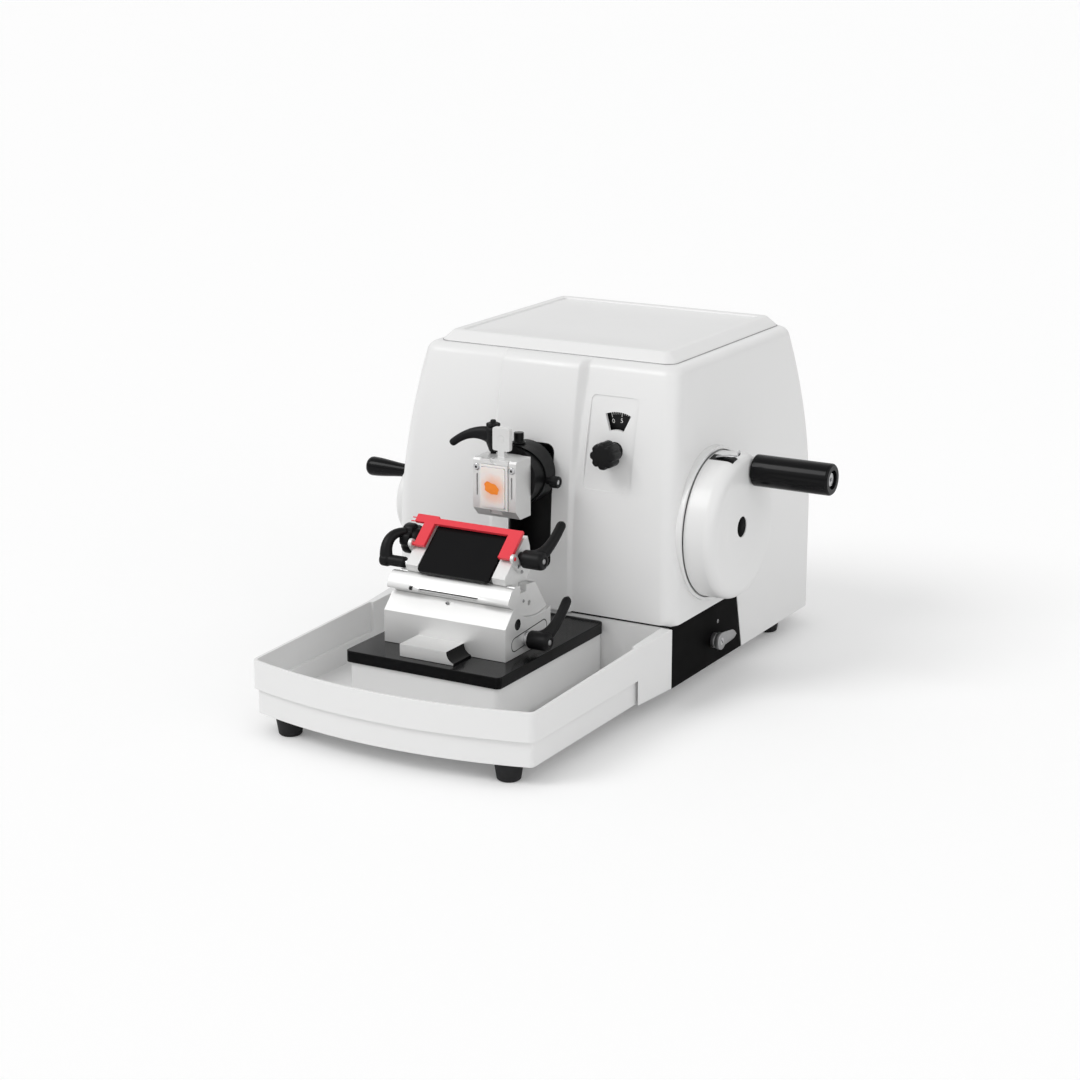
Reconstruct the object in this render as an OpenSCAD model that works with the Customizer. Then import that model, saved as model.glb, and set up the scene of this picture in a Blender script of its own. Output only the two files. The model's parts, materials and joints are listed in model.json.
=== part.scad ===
// Rotary microtome: a bench instrument that moves a wax-embedded specimen up and down past a
// fixed blade and feeds it forward between strokes.
// Frame: +X towards the large handwheel, -Y towards the operator, +Z up, feet on Z = 0.
// Every module is drawn about the machine's own centre plane and front face; place() moves the
// finished pieces so that the origin lies at the middle of the overall footprint.

/* [Housing] */
// Width of the housing at its foot
housing_w = 292; // [280:1:310]
// Depth of the housing at its foot
housing_d = 307; // [290:1:330]
// Height of the housing top above the bench
housing_top = 301.6; // [296:0.2:312]
// Height of the housing's lower front edge
skirt_z = 73.6; // [72:0.1:76]
// Height at which the walls begin to lean inward
lean_z = 118.6; // [108:0.2:130]
// Inward lean of each side wall at the top
side_lean = 14.1; // [6:0.1:18]
// Inward lean of the front and rear walls at the top
front_lean = 31.8; // [28:0.1:33]
// Wall thickness of the housing
wall = 4; // [3:0.1:4.4]
// Plan radius of the housing's upright corners
corner_r = 15; // [10:0.5:20]
// Radius of the housing's top edge
top_edge_r = 8; // [5:0.5:10]
// Half width of the raised centre band at its crest
band_crest = 38.5; // [36:0.5:40]
// Half width of the raised centre band at its foot
band_foot = 45; // [43:0.5:47]
// How far the band stands proud at the bottom
band_low = 2; // [1:0.1:3]
// How far the band stands proud at the top
band_high = 11; // [9:0.1:12]

/* [Lid] */
// Height of the lid
lid_h = 9.7; // [7:0.1:12]
// Width of the lid's sloping edge
lid_chamfer = 8.9; // [6:0.1:11]
// Margin from the lid to the housing's top edge at the front and sides
lid_margin = 10.5; // [9:0.1:14]
// Margin from the lid to the housing's top edge at the rear
lid_rear_margin = 4.8; // [4:0.1:10]
// Width of the lid's raised rim
lid_rim = 7; // [4:0.5:12]
// Depth of the lid's shallow tray
lid_recess = 2; // [1:0.1:3]

/* [Base] */
// Height of each foot
foot_h = 17; // [14:0.5:22]
// Radius of a foot at its top
foot_r = 12.5; // [10:0.5:14]
// Distance from the tray's side in to the front feet
foot_front_in = 31.2; // [27.2:0.5:46.2]
// Distance from the housing front forward to the front feet
foot_front_y = 226; // [205:1:228]
// Distance from the housing's side in to the rear feet
foot_rear_in = 22; // [18:0.5:46]
// Distance from the housing front back to the rear feet
foot_rear_y = 251; // [200:1:275]
// Thickness of the base's front tongue
tongue_t = 4.6; // [4:0.1:5]
// Thickness of the base floor under the mechanism
floor_t = 10; // [8:0.5:12]
// Distance of the stage plate's top above the bench
stage_top = 70.5; // [69.5:0.1:72]
// Thickness of the stage plate
stage_t = 10.5; // [8:0.5:12]
// Width of the stage plate
stage_w = 156; // [150:1:170]
// Length of the stage plate
stage_l = 185; // [180:1:190]

/* [Waste tray] */
// Width of the tray between its side walls' outer faces
tray_w = 282.4; // [276:0.2:288]
// Distance from the housing front to the tray's front corners
tray_corner_y = 237.3; // [234:0.1:242]
// Outward bow of the tray's front wall
tray_bow = 21.7; // [12:0.1:28]
// Height of the tray rim at its front
rim_front_z = 66; // [58:0.5:68]
// Height of the tray rim at its rear
rim_rear_z = 72.9; // [68:0.1:73]
// Wall thickness of the tray
tray_wall = 3.2; // [2.6:0.1:4]
// Inward step of the tray's lower wall
tray_step = 3.3; // [2:0.1:4]
// Height of that step above the bench
step_z = 40; // [36:0.5:46]

/* [Handwheel] */
// Distance from the housing front back to the handwheel axis
wheel_y = 78.8; // [77:0.1:84]
// Height of the handwheel axis
wheel_z = 152.7; // [151:0.1:156]
// Radius of the handwheel drum
wheel_r = 66.6; // [62:0.1:68]
// Depth of the handwheel drum
wheel_depth = 28.8; // [25:0.1:33]
// Width of the fixed ring round the drum
collar_w = 4; // [3:0.1:5.6]
// Radius at which the handle sits from the wheel axis
crank_r = 52.7; // [46:0.1:53]
// Direction of the handle from the wheel axis, from +Y towards +Z
crank_a = 69.2; // [50:0.1:80]
// Radius of the handle grip
grip_r = 14.5; // [12:0.1:16]
// Length of the handle grip
grip_l = 75; // [60:1:90]
// Radius of the main shaft
shaft_r = 9; // [8:0.1:10]
// Radius of the crank that drives the head: half the stroke
stroke_r = 30; // [26:0.5:30]

/* [Coarse feed] */
// Distance from the housing front back to the coarse wheel axis
coarse_y = 57; // [54:0.5:60]
// Height of the coarse wheel axis
coarse_z = 143; // [138:0.5:148]
// Radius of the coarse wheel
coarse_r = 36; // [32:0.5:40]
// Thickness of the coarse wheel
coarse_depth = 10.6; // [8.6:0.1:14.6]
// Crank radius of the coarse wheel's handle
coarse_crank_r = 25.7; // [22:0.1:27]
// Direction of that handle from its axis, from +Y towards +Z
coarse_crank_a = 98; // [60:1:130]
// Radius of the coarse handle
coarse_grip_r = 9.2; // [7.5:0.1:9.4]
// Length of the coarse handle
coarse_grip_l = 49; // [40:1:60]

/* [Specimen head] */
// Height of the specimen arm at the top of its stroke
arm_z = 202; // [200:0.5:203]
// Radius of the specimen arm
arm_r = 18; // [16:0.1:18.2]
// Forward travel of the specimen arm
feed_l = 22; // [15:1:22]
// Radius of the orienting drum
drum_r = 28; // [27:0.1:29]
// Half width of the head slot in the housing
slot_x = 22; // [21:0.1:22.5]
// Height of the slot's lower edge
slot_low = 112; // [110:0.5:114]
// Height of the slot's upper edge
slot_high = 226; // [225:0.5:228]

/* [Cassette clamp] */
// Width of the clamp block
clamp_w = 43.8; // [42:0.1:44.2]
// Height of the clamp block's lower face
clamp_low = 170; // [168:0.5:172]
// Height of the clamp block's upper face
clamp_high = 223.5; // [222:0.5:225]
// Distance from the housing front forward to the clamp block's face
clamp_face = 63; // [62:0.1:63.4]
// Thickness of the clamp block
clamp_t = 26; // [25:0.1:26]
// Width of the tissue cassette
cassette_w = 28.4; // [27:0.1:29]
// Height of the tissue cassette
cassette_h = 40.6; // [39:0.1:41]
// Thickness of the tissue cassette
cassette_t = 6; // [5.5:0.1:6.4]

/* [Knife holder] */
// Distance from the housing front forward to the knife edge
edge_y = 90.4; // [89.5:0.1:92]
// Height of the knife edge
edge_z = 169.1; // [168:0.1:170]
// Slope of the blade from the horizontal
slope = 40.5; // [38:0.5:42]
// Radius of the tilting cradle about the knife edge
cradle_r = 70.2; // [69.5:0.1:71]
// Half width of the holder's base
holder_x = 61.5; // [60:0.5:63]
// Distance from the housing front to the front face of the holder's base
holder_front = 149; // [147:0.5:150]
// Distance from the housing front to the rear face of the holder's base
holder_rear = 71; // [70:0.5:73]
// Half width of the pressure plate
press_x = 36; // [34:0.5:37]
// Length of the pressure plate down the slope
press_l = 51; // [46:0.1:51.5]
// Thickness of the pressure plate
press_t = 4; // [3.2:0.1:4.4]
// Half width of the blade guard
guard_x = 50; // [49:0.5:50]
// Width of the blade guard's arms
guard_arm = 12.5; // [10:0.5:12.5]

/* [Thickness setting] */
// Distance from the centre plane to the knob axis
knob_x = 79.6; // [76:0.1:84]
// Height of the knob axis
knob_z = 225; // [220:0.5:228]
// Radius of the knob over its lobes
knob_r = 12.4; // [10:0.1:14]
// Outer radius of the dial window
window_r = 34.2; // [31:0.1:35]
// Inner radius of the dial window
window_inner_r = 18.6; // [18:0.1:22]
// Half angle of the dial window
window_a = 22; // [14:1:26]

/* [Fits] */
// Radial running clearance of a shaft in its bore
fit = 0.05; // [0.02:0.01:0.08]
// Gap between pieces that pass each other or are merely side by side
gap = 0.3; // [0.25:0.05:0.35]

/* [Hidden] */
$fn = 64;

white = [0.92, 0.92, 0.91];
black = [0.07, 0.07, 0.075];
silver = [0.78, 0.78, 0.78];
steel = [0.6, 0.61, 0.63];
brass = [0.74, 0.6, 0.3];
iron = [0.42, 0.44, 0.46];
red = [0.93, 0.26, 0.28];

// ---- overall footprint, which sets the origin ----
tray_front = tray_corner_y + tray_bow;
handle_gap = 1;
foot_front_x = tray_w / 2 - foot_front_in;
foot_rear_x = housing_w / 2 - foot_rear_in;
wheel_back_x = housing_w / 2 + 3;
wheel_face_x = wheel_back_x + wheel_depth;
coarse_back_x = housing_w / 2 + 3.4;
coarse_face_x = coarse_back_x + coarse_depth;
handle_end_x = wheel_face_x + handle_gap + grip_l;
coarse_grip_gap = 1;
coarse_end_x = coarse_face_x + coarse_grip_gap + coarse_grip_l;
mid_x = (handle_end_x - coarse_end_x) / 2;
mid_y = (housing_d - tray_front) / 2;

module place() { translate([-mid_x, -mid_y, 0]) children(); }

// ---- drawing helpers ----
// Extrudes a profile drawn in (Y, Z) from x0 to x1.
module along_x(x0, x1) {
  translate([x0, 0, 0]) rotate([90, 0, 90]) linear_extrude(x1 - x0) children();
}
// Extrudes a profile drawn in (X, Z) from y0 to y1.
module along_y(y0, y1) {
  translate([0, y1, 0]) rotate([90, 0, 0]) linear_extrude(y1 - y0) children();
}
module box(x0, x1, y0, y1, z0, z1) {
  translate([x0, y0, z0]) cube([x1 - x0, y1 - y0, z1 - z0]);
}
module rod_x(x0, x1, y, z, r) {
  translate([x0, y, z]) rotate([0, 90, 0]) cylinder(r = r, h = x1 - x0);
}
module rod_y(y0, y1, x, z, r) {
  translate([x, y0, z]) rotate([-90, 0, 0]) cylinder(r = r, h = y1 - y0);
}
module rod_z(z0, z1, x, y, r) {
  translate([x, y, z0]) cylinder(r = r, h = z1 - z0);
}
module round_rect(w, d, r) {
  square([w - 2 * r, d], center = true);
  square([w, d - 2 * r], center = true);
  for (sx = [-1, 1], sy = [-1, 1]) translate([sx * (w / 2 - r), sy * (d / 2 - r)]) circle(r);
}
// A knob outline: a disc with evenly spaced round lobes.
module lobed(r, lobes, lobe_r) {
  circle(r - lobe_r * 0.7);
  for (i = [0 : lobes - 1]) rotate(i * 360 / lobes) translate([r - lobe_r, 0]) circle(lobe_r);
}
// Places children at a clamping lever's pivot, with the arm along +Y before turning by a.
module lever_x(x, y, z, a) { translate([x, y, z]) rotate([a, 0, 0]) children(); }

// ---- housing surface ----
function lean(z) = z <= lean_z ? 0 : pow((z - lean_z) / (housing_top - lean_z), 2);
function side_at(z) = housing_w / 2 - side_lean * lean(z);
function front_at(z) = front_lean * lean(z);
function rear_at(z) = housing_d - front_lean * lean(z);
function band_proud(z) = band_low + (band_high - band_low) * lean(z);
function band_at(z) = front_at(z) - band_proud(z);
function smooth(t) = t * t * (3 - 2 * t);
function band_rise(x) =
  let (t = (band_foot - abs(x)) / (band_foot - band_crest)) smooth(min(1, max(0, t)));
// Inset of a section that rounds the top edge over.
function edge_inset(z, top, r) =
  z <= top - r ? 0 : r * (1 - sqrt(max(0, 1 - pow((z - top + r) / r, 2))));

corner_steps = 6;
band_steps = 4;
band_xs = concat(
  [for (i = [0 : band_steps]) -band_foot + i * (band_foot - band_crest) / band_steps],
  [for (i = [0 : band_steps]) band_crest + i * (band_foot - band_crest) / band_steps]
);
// One horizontal section, anticlockwise from the front left corner; inset shrinks it all round.
function section(z, inset, proud) =
  let (
    r = max(1, corner_r - inset),
    sx = side_at(z) - inset,
    fy = front_at(z) + inset,
    ry = rear_at(z) - inset,
    corners = [[-sx + r, fy + r, 180], [sx - r, fy + r, 270], [sx - r, ry - r, 0],
               [-sx + r, ry - r, 90]]
  )
  [for (c = [0 : 3])
    for (p = concat(
      [for (i = [0 : corner_steps])
        let (a = corners[c][2] + i * 90 / corner_steps)
        [corners[c][0] + r * cos(a), corners[c][1] + r * sin(a), z]],
      (c == 0 && proud) ? [for (x = band_xs) [x, fy - band_proud(z) * band_rise(x), z]] : []))
    p];
// Skins a stack of sections, each given as a list of the same number of points.
module loft(sections) {
  n = len(sections[0]);
  m = len(sections);
  points = [for (s = sections, p = s) p];
  sides = [for (j = [0 : m - 2], i = [0 : n - 1])
    let (a = j * n + i, b = j * n + (i + 1) % n) each [[a, a + n, b], [b, a + n, b + n]]];
  polyhedron(points, concat(sides, [[for (i = [0 : n - 1]) i]],
                            [[for (i = [n - 1 : -1 : 0]) (m - 1) * n + i]]));
}
lean_steps = 7;
edge_steps = 4;
outer_zs = concat(
  [foot_h, lean_z],
  [for (i = [1 : lean_steps]) lean_z + i * (housing_top - top_edge_r - lean_z) / lean_steps],
  [for (i = [1 : edge_steps]) housing_top - top_edge_r + top_edge_r * sin(i * 90 / edge_steps)]
);
inner_top = housing_top - wall;
inner_zs = concat(
  [foot_h - 1, lean_z],
  [for (i = [1 : lean_steps]) lean_z + i * (inner_top - lean_z) / lean_steps]
);

// ---- stations along the mechanism ----
frame_top = 285;
shield_low = slot_low - 8;
shield_high = slot_high + 2 * stroke_r;
pocket_zs = [for (i = [0 : 16]) shield_low - 2 + i * (shield_high + 4 - shield_low + 2) / 16];
floor_z = foot_h + floor_t;
bay_x = housing_w / 2 - wall;
panel_slant = 13.3;
panel_low_y = 145.7;
panel_high_y = panel_low_y - panel_slant;
drum_front = 30;
drum_rear = 3;
cradle_axis_y = clamp_face + 2;
liner_rear = 21.5;
shield_t = 2.5;
slide_x = 29.7;
slide_front = liner_rear + 0.5 + shield_t;
slide_nose = 9.5;
slide_rear = 156;
slide_half_h = 40;
rail_y = [126, 150];
rail_depth = 4;
upright_x = 36;
upright_w = 20;
upright_y = [122, 158];
yoke_t = 8;
disc_x = slide_x + yoke_t + 13.5;
disc_t = 10;
disc_r = 38;
crank_pin_r = 5;
screw_r = 5;

brake_cam_x = [bay_x - 12, bay_x - 8];

// ---- base ----
module foot(x, y) {
  translate([x, y, 0]) rotate_extrude()
    polygon([[0, 0], [foot_r - 3.5, 0], [foot_r - 2.2, 1.4], [foot_r, foot_h - 2],
             [foot_r, foot_h], [0, foot_h]]);
}
module feet() {
  color(black) {
    for (s = [-1, 1]) {
      foot(s * foot_front_x, -foot_front_y);
      foot(s * foot_rear_x, foot_rear_y);
    }
  }
}
module base_casting() {
  tongue_x = foot_front_x + foot_r + 1.5;
  tongue_y = foot_front_y + foot_r - 4;
  front_wall = 8;
  rib = 7;
  color(white) difference() {
    union() {
      translate([0, -tongue_y / 2 + 1, foot_h]) linear_extrude(tongue_t)
        round_rect(2 * tongue_x, tongue_y + 2, 10);
      translate([0, (housing_d - wall) / 2, foot_h]) linear_extrude(floor_t)
        round_rect(2 * (bay_x - gap), housing_d - wall - 2 * gap, corner_r);
      box(-bay_x + gap, bay_x - gap, gap, front_wall, foot_h, skirt_z - gap);
      for (s = [-1, 1])
        along_x(s * (bay_x - gap - rib / 2) - rib / 2, s * (bay_x - gap - rib / 2) + rib / 2)
          polygon([[gap, foot_h], [panel_low_y - gap, foot_h], [panel_high_y - gap, skirt_z - gap],
                   [gap, skirt_z - gap]]);
    }
    rod_x(bay_x - rib - 1, bay_x + 1, brake_y, brake_z, brake_r + gap);
    for (s = [-1, 1]) {
      rod_z(foot_h - 1, foot_h + tongue_t + 1, s * foot_front_x, -foot_front_y, 2.5);
      rod_z(foot_h - 1, foot_h + 5, s * foot_rear_x, foot_rear_y, 2.5);
    }
  }
}
module side_panel(s) {
  t = wall - 0.2;
  color(black) difference() {
    along_x(s * (bay_x + t / 2) - t / 2, s * (bay_x + t / 2) + t / 2)
      polygon([[gap, foot_h], [panel_low_y - gap, foot_h], [panel_high_y - gap, skirt_z - gap],
               [gap, skirt_z - gap]]);
    if (s > 0) rod_x(bay_x - 1, bay_x + t + 1, brake_y, brake_z, brake_r + fit);
    rod_x(s * (bay_x + t) - 1.5, s * (bay_x + t) + 1.5, brake_y + 11, brake_z + 15, 2.2);
  }
}
module pedestal() {
  inset = 2.5;
  front = stage_l + 2.4 - inset;
  top = stage_top - stage_t;
  low = foot_h + tongue_t;
  color(white) translate([0, -front / 2, low]) linear_extrude(top - low)
    round_rect(stage_w - 2 * inset, front, 6);
}
t_slot_w = 12;
t_slot_h = 6;
module stage_plate() {
  front = stage_l + 2.4;
  color(black) difference() {
    translate([0, -front / 2 - 1, stage_top - stage_t]) linear_extrude(stage_t)
      round_rect(stage_w, stage_l, 5);
    along_y(-holder_front - 22, -holder_rear + 40) {
      translate([-t_slot_w / 2, stage_top - 5]) square([t_slot_w, 6]);
      translate([-t_slot_w / 2 - 4, stage_top - 5 - t_slot_h / 2])
        square([t_slot_w + 8, t_slot_h / 2 + 0.5]);
    }
  }
}

// ---- waste tray ----
function bow_radius(inset) = (pow(tray_w / 2, 2) + pow(tray_bow, 2)) / (2 * tray_bow) - inset;
// Plan outline of the tray at an inset from its outer face, open to the rear edge.
function tray_outline(inset, rear, corner) =
  let (
    r0 = bow_radius(0),
    cy = -tray_front + r0,
    x = tray_w / 2 - inset,
    rb = r0 - inset,
    r = max(1, corner - inset),
    fx = x - r,
    fy = cy - sqrt(pow(rb - r, 2) - pow(fx, 2)),
    a1 = asin(fx / (rb - r)),
    right = [for (i = [0 : 5]) let (a = -i * (90 - a1) / 5) [fx + r * cos(a), fy + r * sin(a)]],
    front = [for (i = [1 : 15]) let (a = a1 * (1 - i / 8)) [rb * sin(a), cy - rb * cos(a)]],
    left = [for (i = [5 : -1 : 0]) [-right[i][0], right[i][1]]]
  )
  concat([[x, rear]], right, front, left, [[-x, rear]]);
module waste_tray() {
  rear = -gap;
  corner = 8;
  low = foot_h + 0.4;
  floor_low = foot_h + tongue_t + gap;
  floor_t2 = 2.6;
  flare_y = 56.4;
  flare = housing_w / 2 - tray_w / 2;
  well_x = stage_w / 2 + 1;
  well_y = stage_l + 2.4 + 1;
  color(white) difference() {
    intersection() {
      union() {
        translate([0, 0, step_z]) linear_extrude(rim_rear_z - step_z)
          polygon(tray_outline(0, rear, corner));
        translate([0, 0, low]) linear_extrude(step_z - low)
          polygon(tray_outline(tray_step, rear, corner));
        for (s = [-1, 1])
          translate([0, 0, low]) linear_extrude(rim_rear_z - low) polygon([
            [s * (tray_w / 2 - 3.4), -flare_y + 6], [s * tray_w / 2, -flare_y],
            [s * (tray_w / 2 + flare), rear], [s * (tray_w / 2 - 3.4), rear]]);
      }
      along_x(-housing_w, housing_w)
        polygon([[-tray_front - 1, low - 1], [1, low - 1], [1, rim_rear_z],
                 [-flare_y, rim_front_z + (rim_rear_z - rim_front_z) * 0.7],
                 [-tray_corner_y, rim_front_z], [-tray_front - 1, rim_front_z]]);
    }
    translate([0, 0, floor_low + floor_t2]) linear_extrude(rim_rear_z)
      polygon(tray_outline(tray_step + tray_wall, 1, corner));
    translate([0, 0, low - 1]) linear_extrude(floor_low - low + 1)
      polygon(tray_outline(tray_step + tray_wall, 1, corner));
    box(-well_x, well_x, -well_y, 1, low - 1, rim_rear_z);
    translate([0, 0, step_z + 3]) linear_extrude(rim_rear_z)
      polygon(tray_outline(tray_wall, -flare_y, corner));
  }
}

// ---- housing ----
module housing_slot(grow, y0, y1) {
  along_y(y0, y1) translate([0, (slot_low + slot_high) / 2])
    round_rect(2 * (slot_x + grow), slot_high - slot_low + 2 * grow, 8 + grow);
}
module window_sector(grow) {
  reach = window_r + 6;
  intersection() {
    difference() {
      circle(window_r + grow);
      circle(window_inner_r - grow);
    }
    polygon([[0, 0], [-reach * tan(window_a), reach], [reach * tan(window_a), reach]]);
  }
}
module housing_cover() {
  panel_edge = gap;
  color(white) difference() {
    loft([for (z = outer_zs)
      section(z, edge_inset(z, housing_top, top_edge_r), true)]);
    loft([for (z = inner_zs) section(z, wall, false)]);
    along_x(-slot_x - 8, slot_x + 8)
      polygon(concat([for (z = pocket_zs) [band_at(z) + wall, z]],
                     [[front_lean + wall + 1, pocket_zs[16]], [front_lean + wall + 1, pocket_zs[0]]]));
    box(-housing_w, housing_w, -20, wall + 0.5, 0, skirt_z);
    for (s = [-1, 1])
      along_x(s * housing_w / 2 - 20, s * housing_w / 2 + 20)
        polygon([[-20, 0], [panel_low_y + foot_h * panel_slant / (skirt_z - foot_h), 0],
                 [panel_low_y, foot_h], [panel_high_y, skirt_z], [-20, skirt_z]]);
    housing_slot(gap, -20, front_lean + wall);
    rod_x(housing_w / 2 - 30, housing_w / 2 + 10, wheel_y, wheel_z, wheel_r + collar_w + fit);
    rod_x(-housing_w / 2 - 10, -housing_w / 2 + 20, coarse_y, coarse_z, coarse_r - 6 + fit);
    rod_y(0, 40, knob_x, knob_z, knob_r - 4);
    along_y(0, 40) translate([knob_x, knob_z]) window_sector(0);
  }
}
module top_lid() {
  half_w = side_at(housing_top) - lid_margin;
  y0 = front_at(housing_top) + lid_margin;
  y1 = rear_at(housing_top) - lid_rear_margin;
  d = y1 - y0;
  edge = 0.8;
  color(white) translate([0, (y0 + y1) / 2, housing_top]) difference() {
    hull() {
      linear_extrude(edge) round_rect(2 * half_w, d, 10, $fn = 32);
      translate([0, 0, lid_h - 0.1]) linear_extrude(0.1)
        round_rect(2 * (half_w - lid_chamfer), d - 2 * lid_chamfer, 5, $fn = 32);
    }
    translate([0, 0, lid_h - lid_recess]) linear_extrude(lid_h)
      round_rect(2 * (half_w - lid_chamfer - lid_rim), d - 2 * (lid_chamfer + lid_rim), 3);
  }
}
module slot_liner() {
  t = 2;
  color(black) difference() {
    intersection() {
      housing_slot(0, -10, liner_rear);
      along_x(-slot_x - 1, slot_x + 1)
        polygon(concat([for (z = [slot_low - 4 : 20 : slot_high + 16]) [band_at(z) + 1, z]],
                       [[liner_rear, slot_high + 20], [liner_rear, slot_low - 4]]));
    }
    housing_slot(-t, -11, liner_rear + 1);
  }
}
module wheel_collar() {
  face = wheel_back_x - 0.5;
  back = housing_w / 2 - 10;
  color(white) difference() {
    rod_x(back, face, wheel_y, wheel_z, wheel_r + collar_w);
    rod_x(face - 4, face + 1, wheel_y, wheel_z, wheel_r + 1);
    rod_x(back - 1, face, wheel_y, wheel_z, shaft_r + 1);
  }
}
module coarse_collar() {
  face = housing_w / 2 + 2.6;
  color(white) difference() {
    rod_x(-face, -housing_w / 2 + 6, coarse_y, coarse_z, coarse_r - 6);
    rod_x(-face - 1, -housing_w / 2 + 7, coarse_y, coarse_z, coarse_shaft_r + 1);
  }
}

// ---- frame inside the housing ----
module main_frame() {
  color(iron) difference() {
    union() {
      box(-upright_x - upright_w - 14, upright_x + upright_w + 14, upright_y[0] - 14,
          upright_y[1] + 24, floor_z, floor_z + 12);
      for (s = [-1, 1]) {
        cx = s * (upright_x + upright_w / 2);
        box(cx - upright_w / 2, cx + upright_w / 2, upright_y[0], upright_y[1], floor_z, frame_top);
        along_x(cx - 4, cx + 4)
          polygon([[upright_y[1], floor_z + 12], [upright_y[1] + 22, floor_z + 12],
                   [upright_y[1], floor_z + 110]]);
      }
      box(-upright_x, upright_x, upright_y[0] + 12, upright_y[1], frame_top - 14, frame_top);
    }
    for (s = [-1, 1], y = [upright_y[0] - 7, upright_y[1] + 15])
      rod_z(floor_z - 1, floor_z + 13, s * (upright_x + upright_w + 7), y, 3.2);
  }
}
module guide_rails() {
  color(steel) for (s = [-1, 1]) {
    cx = s * (upright_x - (upright_x - slide_x + rail_depth) / 2);
    half = (upright_x - slide_x + rail_depth) / 2;
    box(cx - half, cx + half, rail_y[0], rail_y[1], floor_z + 30, frame_top - 15);
  }
}
bearing_x = [disc_x + disc_t + 12, brake_cam_x[0] - 0.8];
module shaft_bearing() {
  half = 19;
  x0 = bearing_x[0];
  x1 = bearing_x[1];
  color(iron) difference() {
    along_x(x0, x1) {
      translate([wheel_y - half, floor_z]) square([2 * half, wheel_z - floor_z]);
      translate([wheel_y, wheel_z]) circle(half);
      translate([wheel_y - half - 9, floor_z]) square([2 * half + 18, 10]);
    }
    rod_x(x0 - 1, x1 + 1, wheel_y, wheel_z, bush_r);
    box(x0 + 12, x1 - 12, wheel_y - half - 10, wheel_y + half + 10, floor_z + 22, wheel_z - 26);
  }
}
bush_r = shaft_r + 4;
module shaft_bushes() {
  color(brass) for (x = [bearing_x[0], bearing_x[1] - 18]) difference() {
    rod_x(x, x + 18, wheel_y, wheel_z, bush_r);
    rod_x(x - 1, x + 19, wheel_y, wheel_z, shaft_r + fit);
  }
}
coarse_shaft_r = 6;
coarse_bearing_x = [bay_x - 54, bay_x - 30];
coarse_gear_x = [bay_x - 68, bay_x - 58];
module coarse_bearing() {
  half = 13;
  color(iron) difference() {
    along_x(-coarse_bearing_x[1], -coarse_bearing_x[0]) {
      translate([coarse_y - half, floor_z]) square([2 * half, coarse_z - floor_z]);
      translate([coarse_y, coarse_z]) circle(half);
      translate([coarse_y - half - 7, floor_z]) square([2 * half + 14, 8]);
    }
    rod_x(-coarse_bearing_x[1] - 1, -coarse_bearing_x[0] + 1, coarse_y, coarse_z,
          coarse_shaft_r + fit);
  }
}
spindle_r = 4;
module dial_bearing() {
  low = frame_top - 20;
  color(iron) difference() {
    union() {
      rod_y(40, 58, knob_x, knob_z, 11);
      box(knob_x - 5, knob_x + 5, 40, 58, knob_z, frame_top);
      box(upright_x + 2, knob_x + 5, 40, upright_y[0] + 20, frame_top, frame_top + 6);
    }
    rod_y(39, 59, knob_x, knob_z, spindle_r + fit);
  }
}

// ---- handwheel drive ----
function on_wheel(r, a) = [wheel_y + r * cos(a), wheel_z + r * sin(a)];
handle_at = on_wheel(crank_r, crank_a);
pin_r = 4;
module main_shaft() {
  color(steel) rod_x(disc_x, wheel_face_x - 12, wheel_y, wheel_z, shaft_r);
}
module crank_disc() {
  color(iron) difference() {
    union() {
      rod_x(disc_x, disc_x + disc_t, wheel_y, wheel_z, disc_r);
      rod_x(slide_x + yoke_t + 1, disc_x, wheel_y, wheel_z + stroke_r, crank_pin_r);
    }
    rod_x(disc_x - 1, disc_x + disc_t + 1, wheel_y, wheel_z, shaft_r);
    for (a = [-30, 210]) {
      p = on_wheel(24, a);
      rod_x(disc_x - 1, disc_x + disc_t + 1, p[0], p[1], 5);
    }
  }
}
module crank_block() {
  half = 6.5;
  color(brass) difference() {
    box(slide_x + yoke_t + 0.8, disc_x - 1.2, wheel_y - half - 3, wheel_y + half + 3,
        wheel_z + stroke_r - half, wheel_z + stroke_r + half);
    rod_x(slide_x, disc_x, wheel_y, wheel_z + stroke_r, crank_pin_r + fit);
  }
}
lock_a = 102;
lock_w = 9;
module handwheel() {
  shell = 5;
  edge = 11;
  hub = 20;
  depth = wheel_face_x - wheel_back_x;
  dish = 3;
  color(white) difference() {
    translate([wheel_back_x, wheel_y, wheel_z]) rotate([0, 90, 0]) rotate_extrude($fn = 96)
      difference() {
        union() {
          square([wheel_r, depth - edge]);
          square([wheel_r - edge, depth]);
          translate([wheel_r - edge, depth - edge]) circle(edge);
        }
        translate([hub, -1]) square([wheel_r - shell - hub, depth - 8 + 1]);
        translate([0, depth + 4 * wheel_r - dish]) circle(4 * wheel_r, $fn = 256);
        translate([-1, -1]) square([shaft_r + 1, depth - 12 + 1]);
        translate([-1, -1]) square([shaft_r + 1.6, depth + 2]);
      }
    rod_x(wheel_back_x, wheel_face_x + 1, handle_at[0], handle_at[1], pin_r + 2);
    translate([wheel_back_x + 4, wheel_y, wheel_z]) rotate([lock_a - 90, 0, 0])
      translate([0, -lock_w / 2, wheel_r - shell - 1]) cube([19, lock_w, shell + 3]);
  }
  // hub sleeve that grips the shaft, and the boss that carries the handle pin
  color(white) {
    difference() {
      rod_x(wheel_back_x, wheel_face_x - 13, wheel_y, wheel_z, shaft_r + 2);
      rod_x(wheel_back_x - 1, wheel_face_x, wheel_y, wheel_z, shaft_r);
    }
    difference() {
      rod_x(wheel_back_x + 4, wheel_face_x - 2, handle_at[0], handle_at[1], pin_r + 3);
      rod_x(wheel_back_x, wheel_face_x + 1, handle_at[0], handle_at[1], pin_r);
    }
  }
}
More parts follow.
